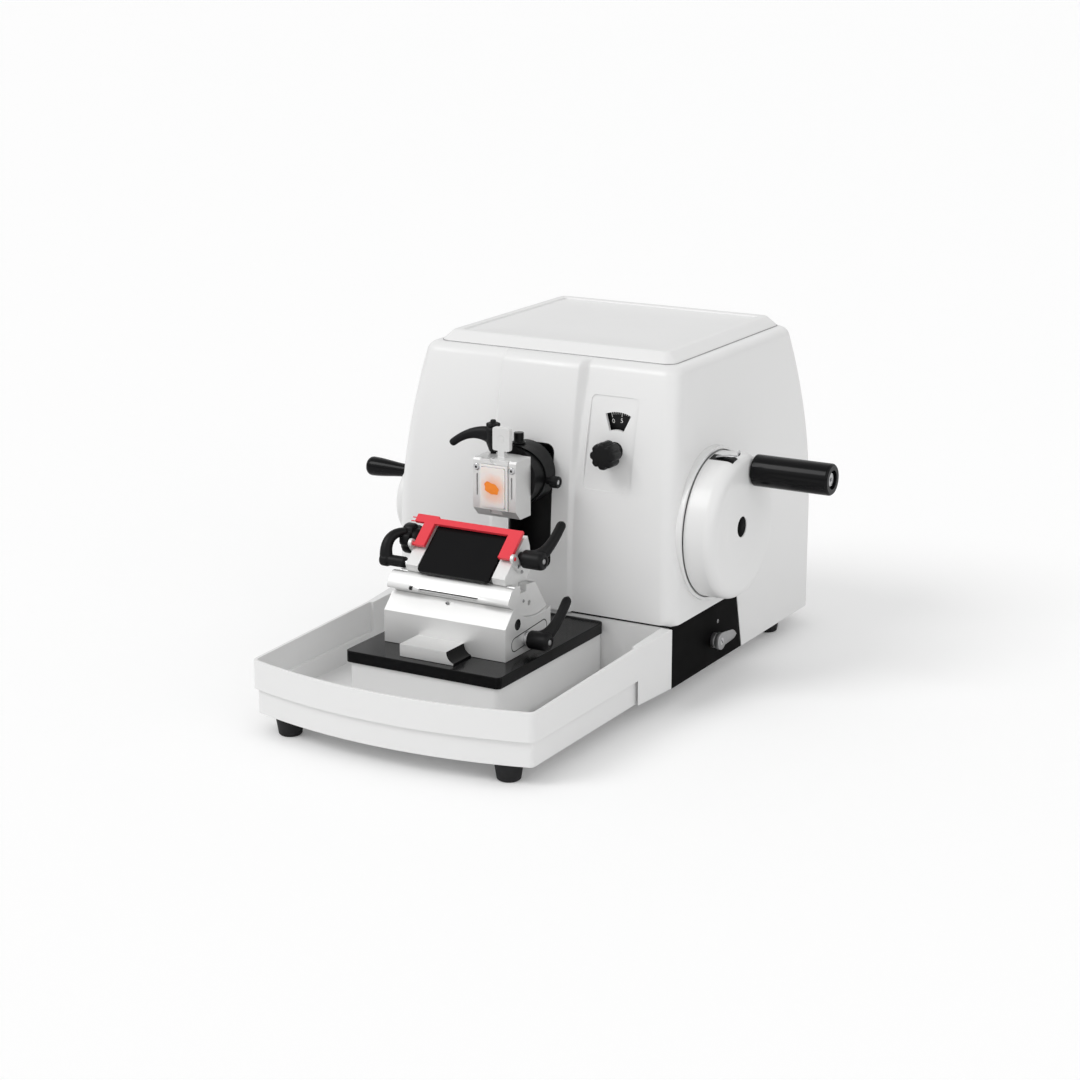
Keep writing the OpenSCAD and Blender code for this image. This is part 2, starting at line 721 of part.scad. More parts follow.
module handle_pin() {
  end = handle_end_x - 2;
  color(silver) {
    rod_x(wheel_back_x + 6, end - 4, handle_at[0], handle_at[1], pin_r);
    difference() {
      rod_x(end - 4, end, handle_at[0], handle_at[1], pin_r + 2.2);
      rod_x(end - 2.4, end + 1, handle_at[0], handle_at[1], 2.2, $fn = 6);
    }
  }
}
module handle_grip() {
  x0 = wheel_face_x + handle_gap;
  r = grip_r;
  color(black) translate([x0, handle_at[0], handle_at[1]]) rotate([0, 90, 0])
    rotate_extrude() difference() {
      union() {
        translate([0, 1.5]) square([r, grip_l - 4]);
        square([r - 1.5, grip_l]);
        translate([r - 1.5, 1.5]) circle(1.5);
        translate([r - 2.5, grip_l - 2.5]) circle(2.5);
      }
      translate([-r, -1]) square([r + pin_r + fit, grip_l + 2]);
      translate([0, grip_l - 6 - gap]) square([pin_r + 2.2 + 2.4, grip_l]);
    }
}
module wheel_lock() {
  color(steel) translate([wheel_back_x + 4.5, wheel_y, wheel_z]) rotate([lock_a - 90, 0, 0])
    translate([0, -lock_w / 2 + 0.8, wheel_r - 5]) {
      translate([8, 0, 0]) cube([7, lock_w - 1.6, 7]);
      translate([1, 0, 2]) cube([8, lock_w - 1.6, 2]);
      translate([12, 0, 6]) cube([7, lock_w - 1.6, 2.2]);
    }
}

// ---- specimen head slide ----
slide_low = arm_z - slide_half_h;
slide_high = arm_z + slide_half_h;
module vertical_slide() {
  pivot = [22, arm_z + 34];
  yoke_z = wheel_z + stroke_r;
  color(iron) difference() {
    union() {
      box(-slide_x, slide_x, slide_front + slide_nose, slide_rear, slide_low, slide_high);
      rod_y(slide_front, slide_front + slide_nose, 0, arm_z, arm_r + 6);
      difference() {
        box(slide_x, slide_x + yoke_t, wheel_y - stroke_r - 16, wheel_y + stroke_r + 12,
            yoke_z - 15, yoke_z + 15);
        box(slide_x - 1, slide_x + yoke_t + 1, wheel_y - stroke_r - 10,
            wheel_y + stroke_r + 13, yoke_z - 6.8, yoke_z + 6.8);
      }
      rod_y(slide_rear, slide_rear + 9, pivot[0], pivot[1], 3);
    }
    rod_y(slide_front - 1, slide_rear + 1, 0, arm_z, arm_r + fit);
    for (s = [-1, 1]) {
      cx = s * (slide_x - (rail_depth - gap) / 2);
      half = (rail_depth + gap) / 2;
      box(cx - half, cx + half, rail_y[0] - gap, rail_y[1] + gap, slide_low - 1, slide_high + 1);
    }
  }
}
module dust_shield() {
  color(black) difference() {
    along_y(slide_front - shield_t, slide_front) translate([0, (shield_low + shield_high) / 2])
      round_rect(2 * (slot_x + 4), shield_high - shield_low, 3);
    rod_y(slide_front - 10, slide_front + 10, 0, arm_z, arm_r + gap);
  }
}
module screw_bearing() {
  color(brass) difference() {
    rod_y(slide_rear - 22, slide_rear, 0, arm_z, arm_r + fit);
    rod_y(slide_rear - 23, slide_rear + 1, 0, arm_z, screw_r + fit);
  }
}
arm_rear = slide_rear - 50;
nut_l = 20;
nut_r = 12;
module specimen_arm() {
  color(steel) difference() {
    rod_y(-drum_rear, arm_rear, 0, arm_z, arm_r);
    rod_y(20, arm_rear + 1, 0, arm_z, screw_r + 1);
    rod_y(arm_rear - nut_l, arm_rear + 1, 0, arm_z, nut_r);
  }
}
module feed_nut() {
  color(brass) difference() {
    rod_y(arm_rear - nut_l, arm_rear, 0, arm_z, nut_r);
    rod_y(arm_rear - nut_l - 1, arm_rear + 1, 0, arm_z, screw_r + fit);
  }
}
module feed_screw() {
  color(steel) {
    rod_y(24 + feed_l * 0.3, slide_rear + 12, 0, arm_z, screw_r);
  }
}
ratchet_r = 26;
ratchet_teeth = 60;
module ratchet_wheel() {
  pitch = 360 / ratchet_teeth;
  outline = [for (i = [0 : ratchet_teeth - 1])
    each [[ratchet_r * cos(i * pitch), ratchet_r * sin(i * pitch)],
          [(ratchet_r - 2) * cos(i * pitch + 1), (ratchet_r - 2) * sin(i * pitch + 1)]]];
  color(steel) difference() {
    along_y(slide_rear + 2, slide_rear + 8) translate([0, arm_z]) polygon(outline);
    rod_y(slide_rear + 1, slide_rear + 9, 0, arm_z, screw_r);
  }
}
module pawl() {
  px = 22;
  pz = arm_z + 34;
  a = atan2(34, 22);
  tip = [(ratchet_r + 0.6) * cos(a + 10), arm_z + (ratchet_r + 0.6) * sin(a + 10)];
  color(steel) difference() {
    along_y(slide_rear + 2.5, slide_rear + 7.5) {
      translate([px, pz]) circle(5.5);
      polygon([tip, [tip[0] + 5, tip[1] + 1.5], [px + 5.2, pz - 1.7], [px - 5.2, pz + 1.7]]);
    }
    rod_y(slide_rear + 2, slide_rear + 9, px, pz, 3 + fit);
  }
}

// ---- thickness setting ----
dial_y = 24;
module thickness_knob() {
  wall_y = front_at(knob_z);
  front = wall_y - 24;
  color(black) {
    along_y(front + 1, front + 17) translate([knob_x, knob_z]) lobed(knob_r, 8, 3);
    rod_y(front, front + 1, knob_x, knob_z, knob_r - 2.2);
    rod_y(front + 17, wall_y + 2, knob_x, knob_z, knob_r - 4.5);
  }
}
module thickness_dial() {
  wall_y = front_at(knob_z);
  color(black) {
    rod_y(dial_y, dial_y + 3, knob_x, knob_z, window_r + 1.5);
    rod_y(wall_y + 2, dial_y, knob_x, knob_z, spindle_r);
    rod_y(dial_y + 3, 66, knob_x, knob_z, spindle_r);
    rod_y(dial_y + 3, dial_y + 9, knob_x, knob_z, 9);
  }
}

// ---- coarse feed wheel ----
coarse_grip_at = [coarse_y + coarse_crank_r * cos(coarse_crank_a),
                  coarse_z + coarse_crank_r * sin(coarse_crank_a)];
coarse_pin_r = 3;
module coarse_wheel() {
  t = coarse_face_x - coarse_back_x;
  color(white) difference() {
    translate([-coarse_back_x, coarse_y, coarse_z]) rotate([0, -90, 0]) rotate_extrude()
      difference() {
        union() {
          square([coarse_r, t - 4]);
          square([coarse_r - 4, t]);
          translate([coarse_r - 4, t - 4]) circle(4);
        }
        translate([0, t - 1.5]) square([coarse_r - 12, t]);
      }
    rod_x(-coarse_face_x - 1, -coarse_back_x + 1, coarse_y, coarse_z, coarse_shaft_r);
    rod_x(-coarse_face_x - 1, -coarse_back_x + 1, coarse_grip_at[0], coarse_grip_at[1],
          coarse_pin_r);
  }
}
module coarse_shaft() {
  teeth = 24;
  pr = 20;
  color(steel) {
    rod_x(-coarse_face_x + 1, -coarse_gear_x[0] + 4, coarse_y, coarse_z, coarse_shaft_r);
    rod_x(-coarse_end_x + 6, -coarse_back_x - 1, coarse_grip_at[0], coarse_grip_at[1],
          coarse_pin_r);
    along_x(-coarse_gear_x[1], -coarse_gear_x[0]) translate([coarse_y, coarse_z]) difference() {
      polygon([for (i = [0 : 4 * teeth - 1])
        let (r = (i % 4 < 2) ? pr + 2 : pr - 2, a = i * 360 / (4 * teeth))
        [r * cos(a), r * sin(a)]]);
      circle(coarse_shaft_r);
    }
  }
}
module coarse_handle() {
  l = coarse_grip_l;
  r = coarse_grip_r;
  color(black) translate([-coarse_face_x - coarse_grip_gap, coarse_grip_at[0], coarse_grip_at[1]])
    rotate([0, -90, 0]) rotate_extrude() difference() {
      polygon(concat(
        [[0, 0], [r * 0.6, 0], [r * 0.6, 3]],
        [for (i = [0 : 8]) let (t = i / 8) [r * (0.66 + 0.34 * smooth(t)), 3 + (l - 8) * t]],
        [for (i = [1 : 4]) [r - 5 + 5 * cos(i * 22.5), l - 5 + 5 * sin(i * 22.5)]],
        [[0, l]]));
      translate([-1, -1]) square([coarse_pin_r + fit + 1, l - 4.6]);
    }
}

// ---- orienting head ----
tilt_outer_r = 45;
tilt_inner_r = 36;
side_screw_z = arm_z - 4;
top_screw_y = -20;
side_screw_y = -17.5;
head_screw_r = 2.5;
module drum() {
  color(black) difference() {
    rod_y(-drum_front, -drum_rear, 0, arm_z, drum_r);
    rod_x(-50, 50, -cradle_axis_y, arm_z, tilt_outer_r);
    rod_x(drum_r - 15, drum_r + 1, side_screw_y, side_screw_z, head_screw_r + fit);
    rod_z(arm_z + 15, arm_z + drum_r + 1, 0, top_screw_y, head_screw_r + fit);
  }
}
module side_screw() {
  color(black) {
    rod_x(drum_r - 13, drum_r + gap, side_screw_y, side_screw_z, head_screw_r);
    rod_x(drum_r + gap, drum_r + 4, side_screw_y, side_screw_z, 3.4);
    translate([drum_r + 4, side_screw_y, side_screw_z]) rotate([90, 0, 90])
      linear_extrude(8) lobed(5.4, 6, 1.6, $fn = 32);
  }
}
module top_screw() {
  base = arm_z + drum_r + gap;
  color(black) translate([0, top_screw_y, 0]) {
    rod_z(arm_z + 17, base, 0, 0, head_screw_r);
    translate([0, 0, base]) cylinder(r1 = 5.6, r2 = 3.4, h = 3.6);
    translate([0, 0, base + 3.6]) linear_extrude(7.4) lobed(5, 6, 1.6, $fn = 32);
  }
}
module tilt_cradle() {
  color(black) difference() {
    intersection() {
      rod_y(-clamp_face + clamp_t + gap, -drum_rear, 0, arm_z, drum_r - 1.5);
      rod_x(-50, 50, -cradle_axis_y, arm_z, tilt_outer_r - gap);
    }
    rod_z(arm_z - 50, arm_z + 50, 0, -cradle_axis_y, tilt_inner_r);
  }
}

// ---- cassette clamp ----
clamp_back = -clamp_face + clamp_t;
seat_low = (clamp_low + clamp_high) / 2 + 2 - cassette_h / 2;
jaw_low = seat_low + cassette_h + 0.1;
module clamp_block() {
  chamfer = 6;
  lip = 2.4;
  depth = cassette_t - 2 + 0.2;
  color(silver) difference() {
    union() {
      along_x(-clamp_w / 2, clamp_w / 2)
        polygon([[-clamp_face, clamp_low + chamfer + 2], [-clamp_face + 8, clamp_low],
                 [clamp_back, clamp_low], [clamp_back, clamp_high],
                 [-clamp_face + 2, clamp_high], [-clamp_face, clamp_high - 2]]);
      intersection() {
        box(-18, 18, clamp_back, 0, arm_z - drum_r + 8, arm_z + drum_r - 8);
        rod_z(arm_z - 50, arm_z + 50, 0, -cradle_axis_y, tilt_inner_r - gap);
      }
    }
    box(-cassette_w / 2 - 0.3, cassette_w / 2 + 0.3, -clamp_face - 1, -clamp_face + depth,
        seat_low, clamp_high + 1);
    box(-cassette_w / 2 + 1.5, cassette_w / 2 - 1.5, -clamp_face, -clamp_face + depth + 6,
        seat_low + 1.5, seat_low + cassette_h - 3);
    box(-8.3, 8.3, -clamp_face + depth - 1, -46.2, jaw_low - gap, clamp_high + 1);
    rod_y(-clamp_face - 1, -clamp_face + 5, 0, clamp_low + 5, 6);
    for (s = [-1, 1]) {
      along_y(-clamp_face - 1, -clamp_face + 3)
        translate([s * (cassette_w / 2 + 3.4), clamp_high - 24]) round_rect(1.6, 20, 0.7);
      rod_y(-clamp_face - 1, -clamp_face + 2, s * (clamp_w / 2 - 4), clamp_high - 8, 2.4);
    }
    rod_z(clamp_high - 8, clamp_high + 1, lever_at[0], lever_at[1], 3 + fit);
  }
}
lever_at = [-14, -41];
module clamp_screws() {
  color(steel) for (s = [-1, 1]) difference() {
    union() {
      rod_y(-clamp_face - 1.6, -clamp_face, s * (clamp_w / 2 - 4), clamp_high - 8, 3.4);
      rod_y(-clamp_face, -clamp_face + 2, s * (clamp_w / 2 - 4), clamp_high - 8, 2.4);
    }
    rod_y(-clamp_face - 2, -clamp_face - 0.6, s * (clamp_w / 2 - 4), clamp_high - 8, 1.5, $fn = 6);
  }
}
module clamp_jaw() {
  depth = cassette_t - 2 + 0.2;
  tab_y = [-51.5, -46.5];
  color(silver) difference() {
    union() {
      box(-cassette_w / 2, cassette_w / 2, -clamp_face - 0.6, -clamp_face + depth - gap,
          jaw_low, clamp_high);
      box(-8, 8, -clamp_face + depth - gap, tab_y[1], jaw_low, clamp_high);
      box(-3.5, 3.5, tab_y[0], tab_y[1], clamp_high, clamp_high + 6);
      along_y(tab_y[0], tab_y[1]) translate([0, clamp_high + 16]) round_rect(17.4, 21, 2);
    }
    rod_y(-clamp_face - 2, -clamp_face + 2, 0, clamp_high + 1, 5);
    rod_y(tab_y[0] - 1, tab_y[1] + 1, 0, clamp_high + 16, 3.4);
  }
}
module clamp_lever() {
  base = clamp_high + gap;
  color(black) translate([lever_at[0], lever_at[1], 0]) {
    rod_z(clamp_high - 7, base, 0, 0, 3);
    rod_z(base, base + 24, 0, 0, 6.4);
    rod_z(base + 24, base + 28, 0, 0, 3);
    translate([0, 0, base + 28]) cylinder(r1 = 4.4, r2 = 3.6, h = 4);
    hull() {
      rod_z(base + 13, base + 22, 0, 0, 5.6, $fn = 32);
      translate([-22, -3.5, base + 15]) sphere(4.6, $fn = 24);
    }
    hull() {
      translate([-22, -3.5, base + 15]) sphere(4.6, $fn = 24);
      translate([-39, -6.5, base + 6.5]) sphere(4, $fn = 24);
    }
  }
}
module cassette() {
  back = -clamp_face + cassette_t - 2;
  lip = 2.2;
  color([0.94, 0.9, 0.86]) difference() {
    box(-cassette_w / 2 + 0.2, cassette_w / 2 - 0.2, back - cassette_t, back, seat_low + 0.1,
        jaw_low - 0.1);
    box(-cassette_w / 2 + lip, cassette_w / 2 - lip, back - cassette_t - 1, back - 1.6,
        seat_low + lip, jaw_low - lip);
    for (i = [-3 : 3], j = [-5 : 5])
      box(i * 3.4 - 1, i * 3.4 + 1, back - 2, back + 1,
          seat_low + cassette_h / 2 + j * 3.2 - 1, seat_low + cassette_h / 2 + j * 3.2 + 1);
  }
}
module specimen_block() {
  back = -clamp_face + cassette_t - 2;
  lip = 2.2;
  color([0.96, 0.72, 0.5])
    translate([0, back - 1.6, seat_low + cassette_h / 2]) rotate([90, 0, 0])
      linear_extrude(cassette_t - 0.4)
        round_rect(cassette_w - 2 * lip - 0.2, cassette_h - 2 * lip - 0.2, 2);
}

// ---- knife holder ----
// The blade's own frame: origin on the edge, +Y up the slope, +Z out of the blade's upper face.
module on_slope() { translate([0, -edge_y, edge_z]) rotate([slope, 0, 0]) children(); }
function slope_point(y, z) = [-edge_y + y * cos(slope) - z * sin(slope),
                              edge_z + y * sin(slope) + z * cos(slope)];
base_bore_at = [-113, 82.4];
base_shaft_r = 4;
plug_at = [-127.9, 99];
module holder_base() {
  low = stage_top + gap;
  top = 99.8;
  bevel = 15;
  color(silver) difference() {
    along_x(-holder_x, holder_x) difference() {
      polygon([[-holder_front, low], [-holder_front, top], [-holder_front + bevel, top + bevel],
               [-holder_rear, top + bevel], [-holder_rear, low]]);
      translate([-edge_y, edge_z]) circle(cradle_r + gap);
    }
    rod_x(-holder_x + 10, holder_x + 1, base_bore_at[0], base_bore_at[1], base_shaft_r + fit);
    rod_x(holder_x - 6, holder_x + 1, plug_at[0], plug_at[1], 5);
    along_x(holder_x - 1, holder_x + 1) translate([-108, 84]) rotate(4) difference() {
      round_rect(62, 13, 6.4);
      round_rect(60, 11, 5.4);
    }
  }
  // clamping foot and T-nut that ride in the stage's slot
  foot_front = holder_front + 29;
  color(silver) difference() {
    box(-27, 27, -foot_front, -holder_front, low, low + 11);
    translate([30, 0, low + 11]) rotate([90, 0, 0]) cylinder(r = 10, h = 400);
  }
  color(silver) along_y(-holder_front - 10, -holder_rear - 20) {
    translate([-t_slot_w / 2 + gap, stage_top - 4.9]) square([t_slot_w - 2 * gap, 5.3]);
    translate([-t_slot_w / 2 - 3.5, stage_top - 7.7]) square([t_slot_w + 7, 2.9]);
  }
}
// A tapered clamping lever: round boss along X from x0 to x1, arm towards +Y of length l.
module clamp_arm(x0, x1, boss_r, l, tip_r) {
  rod_x(x0, x1, 0, 0, boss_r);
  hull() {
    rod_x(x1 - 9, x1 - 1, 0, 0, boss_r - 1.5, $fn = 32);
    translate([x1 - 3, l * 0.55, -1]) sphere(tip_r + 0.6, $fn = 24);
  }
  hull() {
    translate([x1 - 3, l * 0.55, -1]) sphere(tip_r + 0.6, $fn = 24);
    translate([x1 - 1, l, 1]) sphere(tip_r, $fn = 24);
  }
}
module base_lever() {
  collar = 3.5;
  color(steel) {
    rod_x(-holder_x + 14, holder_x + collar, base_bore_at[0], base_bore_at[1], base_shaft_r);
  }
  color(silver) difference() {
    rod_x(holder_x + gap, holder_x + collar, base_bore_at[0], base_bore_at[1], 7);
    rod_x(holder_x, holder_x + collar + 1, base_bore_at[0], base_bore_at[1], base_shaft_r);
  }
  color(black) lever_x(0, base_bore_at[0], base_bore_at[1], 46)
    clamp_arm(holder_x + collar, holder_x + collar + 21, 8, 44, 4.4);
}
segment_top = [[-127.4, 131.7], [-92.8, 128.2]];
key_y = [-118, -108];
key_depth = 5;
module segment() {
  color(silver) difference() {
    along_x(-holder_x + 3, holder_x - 3) difference() {
      intersection() {
        polygon([[-139, 100], [-139, 115.3], segment_top[0], segment_top[1],
                 [-72.5, 101.4], [-72.5, 90], [-139, 90]]);
        translate([-edge_y, edge_z]) circle(cradle_r);
      }
      translate([key_y[0] - gap, 120 + 3.6]) square([key_y[1] - key_y[0] + 2 * gap, 20]);
    }
    for (s = [-1, 1]) rod_x(s * (holder_x - 4) - 3, s * (holder_x - 4) + 3, -103, 112, 2.4);
  }
}
bumper_x = [-62.7, 60.3];
module bumper_bar() {
  profile = [[-138.4, 118.2], [-128.6, 131], [-129.8, 131.6], [-133.6, 131.6],
             [-136.4, 129.6], [-142.4, 120.6], [-142.4, 119.2], [-141.2, 118.2]];
  color(silver) difference() {
    along_x(bumper_x[0], bumper_x[1]) polygon(profile);
    box(-30, 30, -150, -139.5, 115, 121.5);
  }
}
blade_shaft_at = [-104, 151];
blade_shaft_r = 3.5;
lateral_at = [-124.6, 137.4];
lateral_shaft_r = 2.5;
lateral_shaft_in = 7;
knob_at = [-98, 152];
guard_pivot = [-31, 6.5];
guard_pin_r = 1.8;
carrier_x = guard_x + gap;
ear_t = 3;
module blade_carrier() {
  seat = slope_point(-1.6, -0.2);
  seat_low = slope_point(-50, -0.2);
  cheek_high = slope_point(-7, 3);
  cheek_low = slope_point(-51, 3);
  lift = gap;
  bottom = [[segment_top[0][0] + 1.5, segment_top[0][1] + lift],
            [segment_top[1][0], segment_top[1][1] + lift]];
  rear = [[-86, 140], [-87.6, 158]];
  color(silver) difference() {
    union() {
      along_x(-carrier_x, carrier_x)
        polygon(concat([seat, seat_low], bottom, rear));
      for (s = [-1, 1]) {
        cx = s * (carrier_x + press_x + 1.5) / 2;
        half = (carrier_x - press_x - 1.5) / 2;
        along_x(cx - half, cx + half)
          polygon(concat([cheek_high, cheek_low, [cheek_low[0] + 2, bottom[0][1]]],
                         [bottom[1]], rear));
        ex = s * (carrier_x + ear_t / 2);
        along_x(ex - ear_t / 2, ex + ear_t / 2) {
          translate(slope_point(guard_pivot[0], guard_pivot[1])) circle(4);
          polygon([slope_point(guard_pivot[0] - 4, guard_pivot[1]),
                   slope_point(guard_pivot[0] + 4, guard_pivot[1]),
                   slope_point(guard_pivot[0] + 4, -6), slope_point(guard_pivot[0] - 4, -6)]);
        }
      }
      along_x(-carrier_x, carrier_x)
        polygon([[key_y[0], 124.2], [key_y[1], 124.2], [key_y[1], 134], [key_y[0], 134]]);
    }
    rod_x(-20, carrier_x + ear_t + 1, blade_shaft_at[0], blade_shaft_at[1], blade_shaft_r + fit);
    rod_x(-carrier_x - ear_t - 1, -carrier_x + lateral_shaft_in + 1, lateral_at[0], lateral_at[1],
          lateral_shaft_r + fit);
    rod_x(-carrier_x - ear_t - 1, -30, knob_at[0], knob_at[1], 3 + fit);
    for (s = [-1, 1]) {
      p = slope_point(guard_pivot[0], guard_pivot[1]);
      rod_x(s * (carrier_x + ear_t / 2) - 3, s * (carrier_x + ear_t / 2) + 3, p[0], p[1],
            guard_pin_r + fit);
    }
    rod_x(-press_x - 1, press_x + 1, hinge_at[0], hinge_at[1], hinge_r + 1.2);
    rod_x(-press_x - 5, press_x + 5, hinge_at[0], hinge_at[1], 1.2 + fit);
  }
}
hinge_local = [-47, -2.6];
hinge_at = slope_point(hinge_local[0], hinge_local[1]);
hinge_r = 2.2;
module blade() {
  color([0.85, 0.86, 0.88]) on_slope()
    translate([-press_x - 1, -8, -0.15]) cube([2 * press_x + 2, 8, 0.3]);
}
module pressure_plate() {
  top = -5.6;
  color(black) on_slope() {
    translate([0, top - press_l / 2, 0.35]) linear_extrude(press_t)
      round_rect(2 * press_x, press_l, 4);
    rod_x(-press_x, press_x, hinge_local[0], hinge_local[1], hinge_r);
    box(-press_x, press_x, hinge_local[0] - 1.4, hinge_local[0] + 1.4, hinge_local[1], 0.4);
    rod_x(-press_x - 4, press_x + 4, hinge_local[0], hinge_local[1], 1.2);
  }
}
module blade_guard() {
  low = 5.6;
  high = 8.7;
  bar_top = -3;
  bar_w = 6;
  arm_low = -33;
  flag = 8;
  color(red) on_slope() difference() {
    translate([0, 0, low]) linear_extrude(high - low) {
      translate([-guard_x - flag, bar_top - bar_w]) square([2 * guard_x + flag, bar_w]);
      translate([guard_x - guard_arm, arm_low]) square([guard_arm, bar_top - arm_low]);
      translate([-guard_x + 2, arm_low]) square([guard_arm - 2, bar_top - arm_low]);
      translate([-guard_x - flag, bar_top - 1]) square([22, 3]);
    }
    rod_x(guard_x - 12, guard_x + 1, guard_pivot[0], guard_pivot[1], guard_pin_r - 0.6);
    rod_x(-guard_x - 1, -guard_x + 12, guard_pivot[0], guard_pivot[1], guard_pin_r - 0.6);
  }
  color(steel) on_slope() {
    rod_x(guard_x - 0.5, guard_x + ear_t + 0.5, guard_pivot[0], guard_pivot[1], guard_pin_r);
    rod_x(-guard_x - ear_t - 0.5, -guard_x + 2.5, guard_pivot[0], guard_pivot[1], guard_pin_r);
    for (y = [-8, -4]) rod_x(-guard_x - flag - 5, -guard_x - flag, y, 6.5, 0.5);
  }
}
module blade_lever() {
  x0 = carrier_x + ear_t + 0.8;
  color(steel) rod_x(-18, x0 + 2, blade_shaft_at[0], blade_shaft_at[1], blade_shaft_r);
  color(black) lever_x(0, blade_shaft_at[0], blade_shaft_at[1], 41)
    clamp_arm(x0, x0 + 20, 8, 41, 4.6);
}
module lateral_knob() {
  x1 = -carrier_x - ear_t - 0.8;
  x0 = x1 - 16;
  color(steel) rod_x(x1, -34, knob_at[0], knob_at[1], 3);
  color(black) {
    along_x(x0, x0 + 11) translate([knob_at[0], knob_at[1]]) lobed(14, 5, 5);
    rod_x(x0 + 11, x1, knob_at[0], knob_at[1], 10);
  }
}
module lateral_lever() {
  x1 = -carrier_x - ear_t - 0.8;
  color(steel)
    rod_x(x1 - 2, -carrier_x + lateral_shaft_in, lateral_at[0], lateral_at[1], lateral_shaft_r);
  color(black) lever_x(0, lateral_at[0], lateral_at[1], 33) {
    rod_x(x1 - 18, x1, 0, 0, 5);
    rod_x(x1 - 25, x1 - 17, 0, 0, 6.4);
    hull() {
      rod_x(x1 - 25, x1 - 18, 0, 0, 5.6, $fn = 32);
      translate([x1 - 21.4, 38, 0]) sphere(4, $fn = 24);
    }
  }
}

// ---- brake ----
brake_y = 83.5;
brake_z = 40;
brake_r = 4;
module brake_lever() {
  x0 = housing_w / 2 + 0.3;
  color(steel) rod_x(brake_cam_x[0], x0 + 1, brake_y, brake_z, brake_r);
  color(silver) {
    along_x(brake_cam_x[0], brake_cam_x[1]) {
      translate([brake_y, brake_z]) circle(9);
      translate([brake_y, brake_z]) rotate(60) translate([0, -4]) square([16, 8]);
    }
    rod_x(x0, x0 + 9, brake_y, brake_z, 8);
    translate([x0, brake_y, brake_z]) rotate([-2, 0, 0]) hull() {
      rod_x(4, 9, 0, 0, 6, $fn = 32);
      translate([3, 30, 0]) rotate([0, 90, 0]) cylinder(r = 4.5, h = 5, $fn = 32);
    }
  }
}

place() {
  base_casting();
  side_panel(1);  // side_panel_right
  side_panel(-1);  // side_panel_left
  feet();
  pedestal();
  stage_plate();
  waste_tray();
  housing_cover();
  top_lid();
  slot_liner();
  wheel_collar();
  coarse_collar();
  main_frame();
  guide_rails();
  shaft_bearing();
  shaft_bushes();
  coarse_bearing();
  dial_bearing();
  main_shaft();
  crank_disc();
  crank_block();
  handwheel();
  handle_pin();
  handle_grip();
  wheel_lock();
  vertical_slide();
  dust_shield();
  screw_bearing();
  specimen_arm();
  feed_nut();
  feed_screw();
  ratchet_wheel();
  pawl();
  thickness_knob();
  thickness_dial();
  coarse_wheel();
  coarse_shaft();
  coarse_handle();
  drum();
  side_screw();
  top_screw();
  tilt_cradle();
  clamp_block();
  clamp_screws();
  clamp_jaw();
  clamp_lever();
  cassette();
  specimen_block();
  holder_base();
  base_lever();
  segment();
  bumper_bar();
  blade_carrier();
  blade();
  pressure_plate();
  blade_guard();
  blade_lever();
  lateral_knob();
  lateral_lever();
  brake_lever();
}
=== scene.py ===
"""Bench rotary microtome: surfaces, finishes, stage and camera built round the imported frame."""

import json
import math

import bmesh
import bpy
import numpy as np
from mathutils import Matrix, Vector

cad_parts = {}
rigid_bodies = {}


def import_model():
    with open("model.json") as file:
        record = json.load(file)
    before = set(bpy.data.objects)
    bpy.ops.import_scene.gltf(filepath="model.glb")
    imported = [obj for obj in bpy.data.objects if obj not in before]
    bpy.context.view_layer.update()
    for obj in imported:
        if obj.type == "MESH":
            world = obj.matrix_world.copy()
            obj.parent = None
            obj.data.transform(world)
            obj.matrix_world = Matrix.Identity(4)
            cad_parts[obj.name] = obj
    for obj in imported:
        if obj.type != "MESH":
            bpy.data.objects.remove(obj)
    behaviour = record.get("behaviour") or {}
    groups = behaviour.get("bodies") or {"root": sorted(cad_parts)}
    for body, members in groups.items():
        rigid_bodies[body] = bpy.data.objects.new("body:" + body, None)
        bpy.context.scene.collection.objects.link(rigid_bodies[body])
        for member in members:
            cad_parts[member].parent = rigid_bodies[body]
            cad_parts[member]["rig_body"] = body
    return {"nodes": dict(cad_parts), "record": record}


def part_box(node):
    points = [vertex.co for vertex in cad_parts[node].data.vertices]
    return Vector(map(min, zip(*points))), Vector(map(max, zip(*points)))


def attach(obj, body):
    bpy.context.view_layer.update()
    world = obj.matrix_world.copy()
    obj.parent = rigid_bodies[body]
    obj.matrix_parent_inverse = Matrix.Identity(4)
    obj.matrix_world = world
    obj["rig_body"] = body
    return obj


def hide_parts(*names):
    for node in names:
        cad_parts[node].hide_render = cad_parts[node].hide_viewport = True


bl_info = {
    "name": "Rotary Microtome",
    "version": (1, 0, 0),
    "blender": (4, 5, 0),
    "location": "View3D > Sidebar > Microtome",
    "description": "Builds a bench rotary microtome round its packed frame",
    "category": "Add Mesh",
}

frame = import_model()
NODES = frame["nodes"]
BODY_OF = {n: o["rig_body"] for n, o in NODES.items()}
SLOT_OF = {p["node"]: p["material_slot"] for p in frame["record"]["subparts"]}
MM = 0.001
MICRON = 0.000001

# Sizes and places of the machine, in millimetres. x runs from its centre plane to the right,
# y from the housing's front face to the rear, and z up from the bench.
HOUSING_DEPTH = 307.0
FOOT_HEIGHT = 17.0
BASE_TOP = 73.6
WHEEL_AXIS = (78.8, 152.7)
COARSE_AXIS = (57.0, 143.0)
KNOB_AXIS = (79.6, 225.0)
COVER_LOW, COVER_HIGH = (np.array(c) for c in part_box("housing_cover"))
ORIGIN = np.array([
    -(COVER_LOW[0] + COVER_HIGH[0]) / 2 / MM,
    HOUSING_DEPTH - COVER_HIGH[1] / MM,
    0.0,
])


# ---- sizes and colours a user may change ----
def number(name, description, default, **more):
    """A number setting."""
    return bpy.props.FloatProperty(name=name, description=description, default=default, **more)


def colour(name, description, default):
    """A colour setting."""
    return bpy.props.FloatVectorProperty(
        name=name, description=description, subtype="COLOR", default=default)


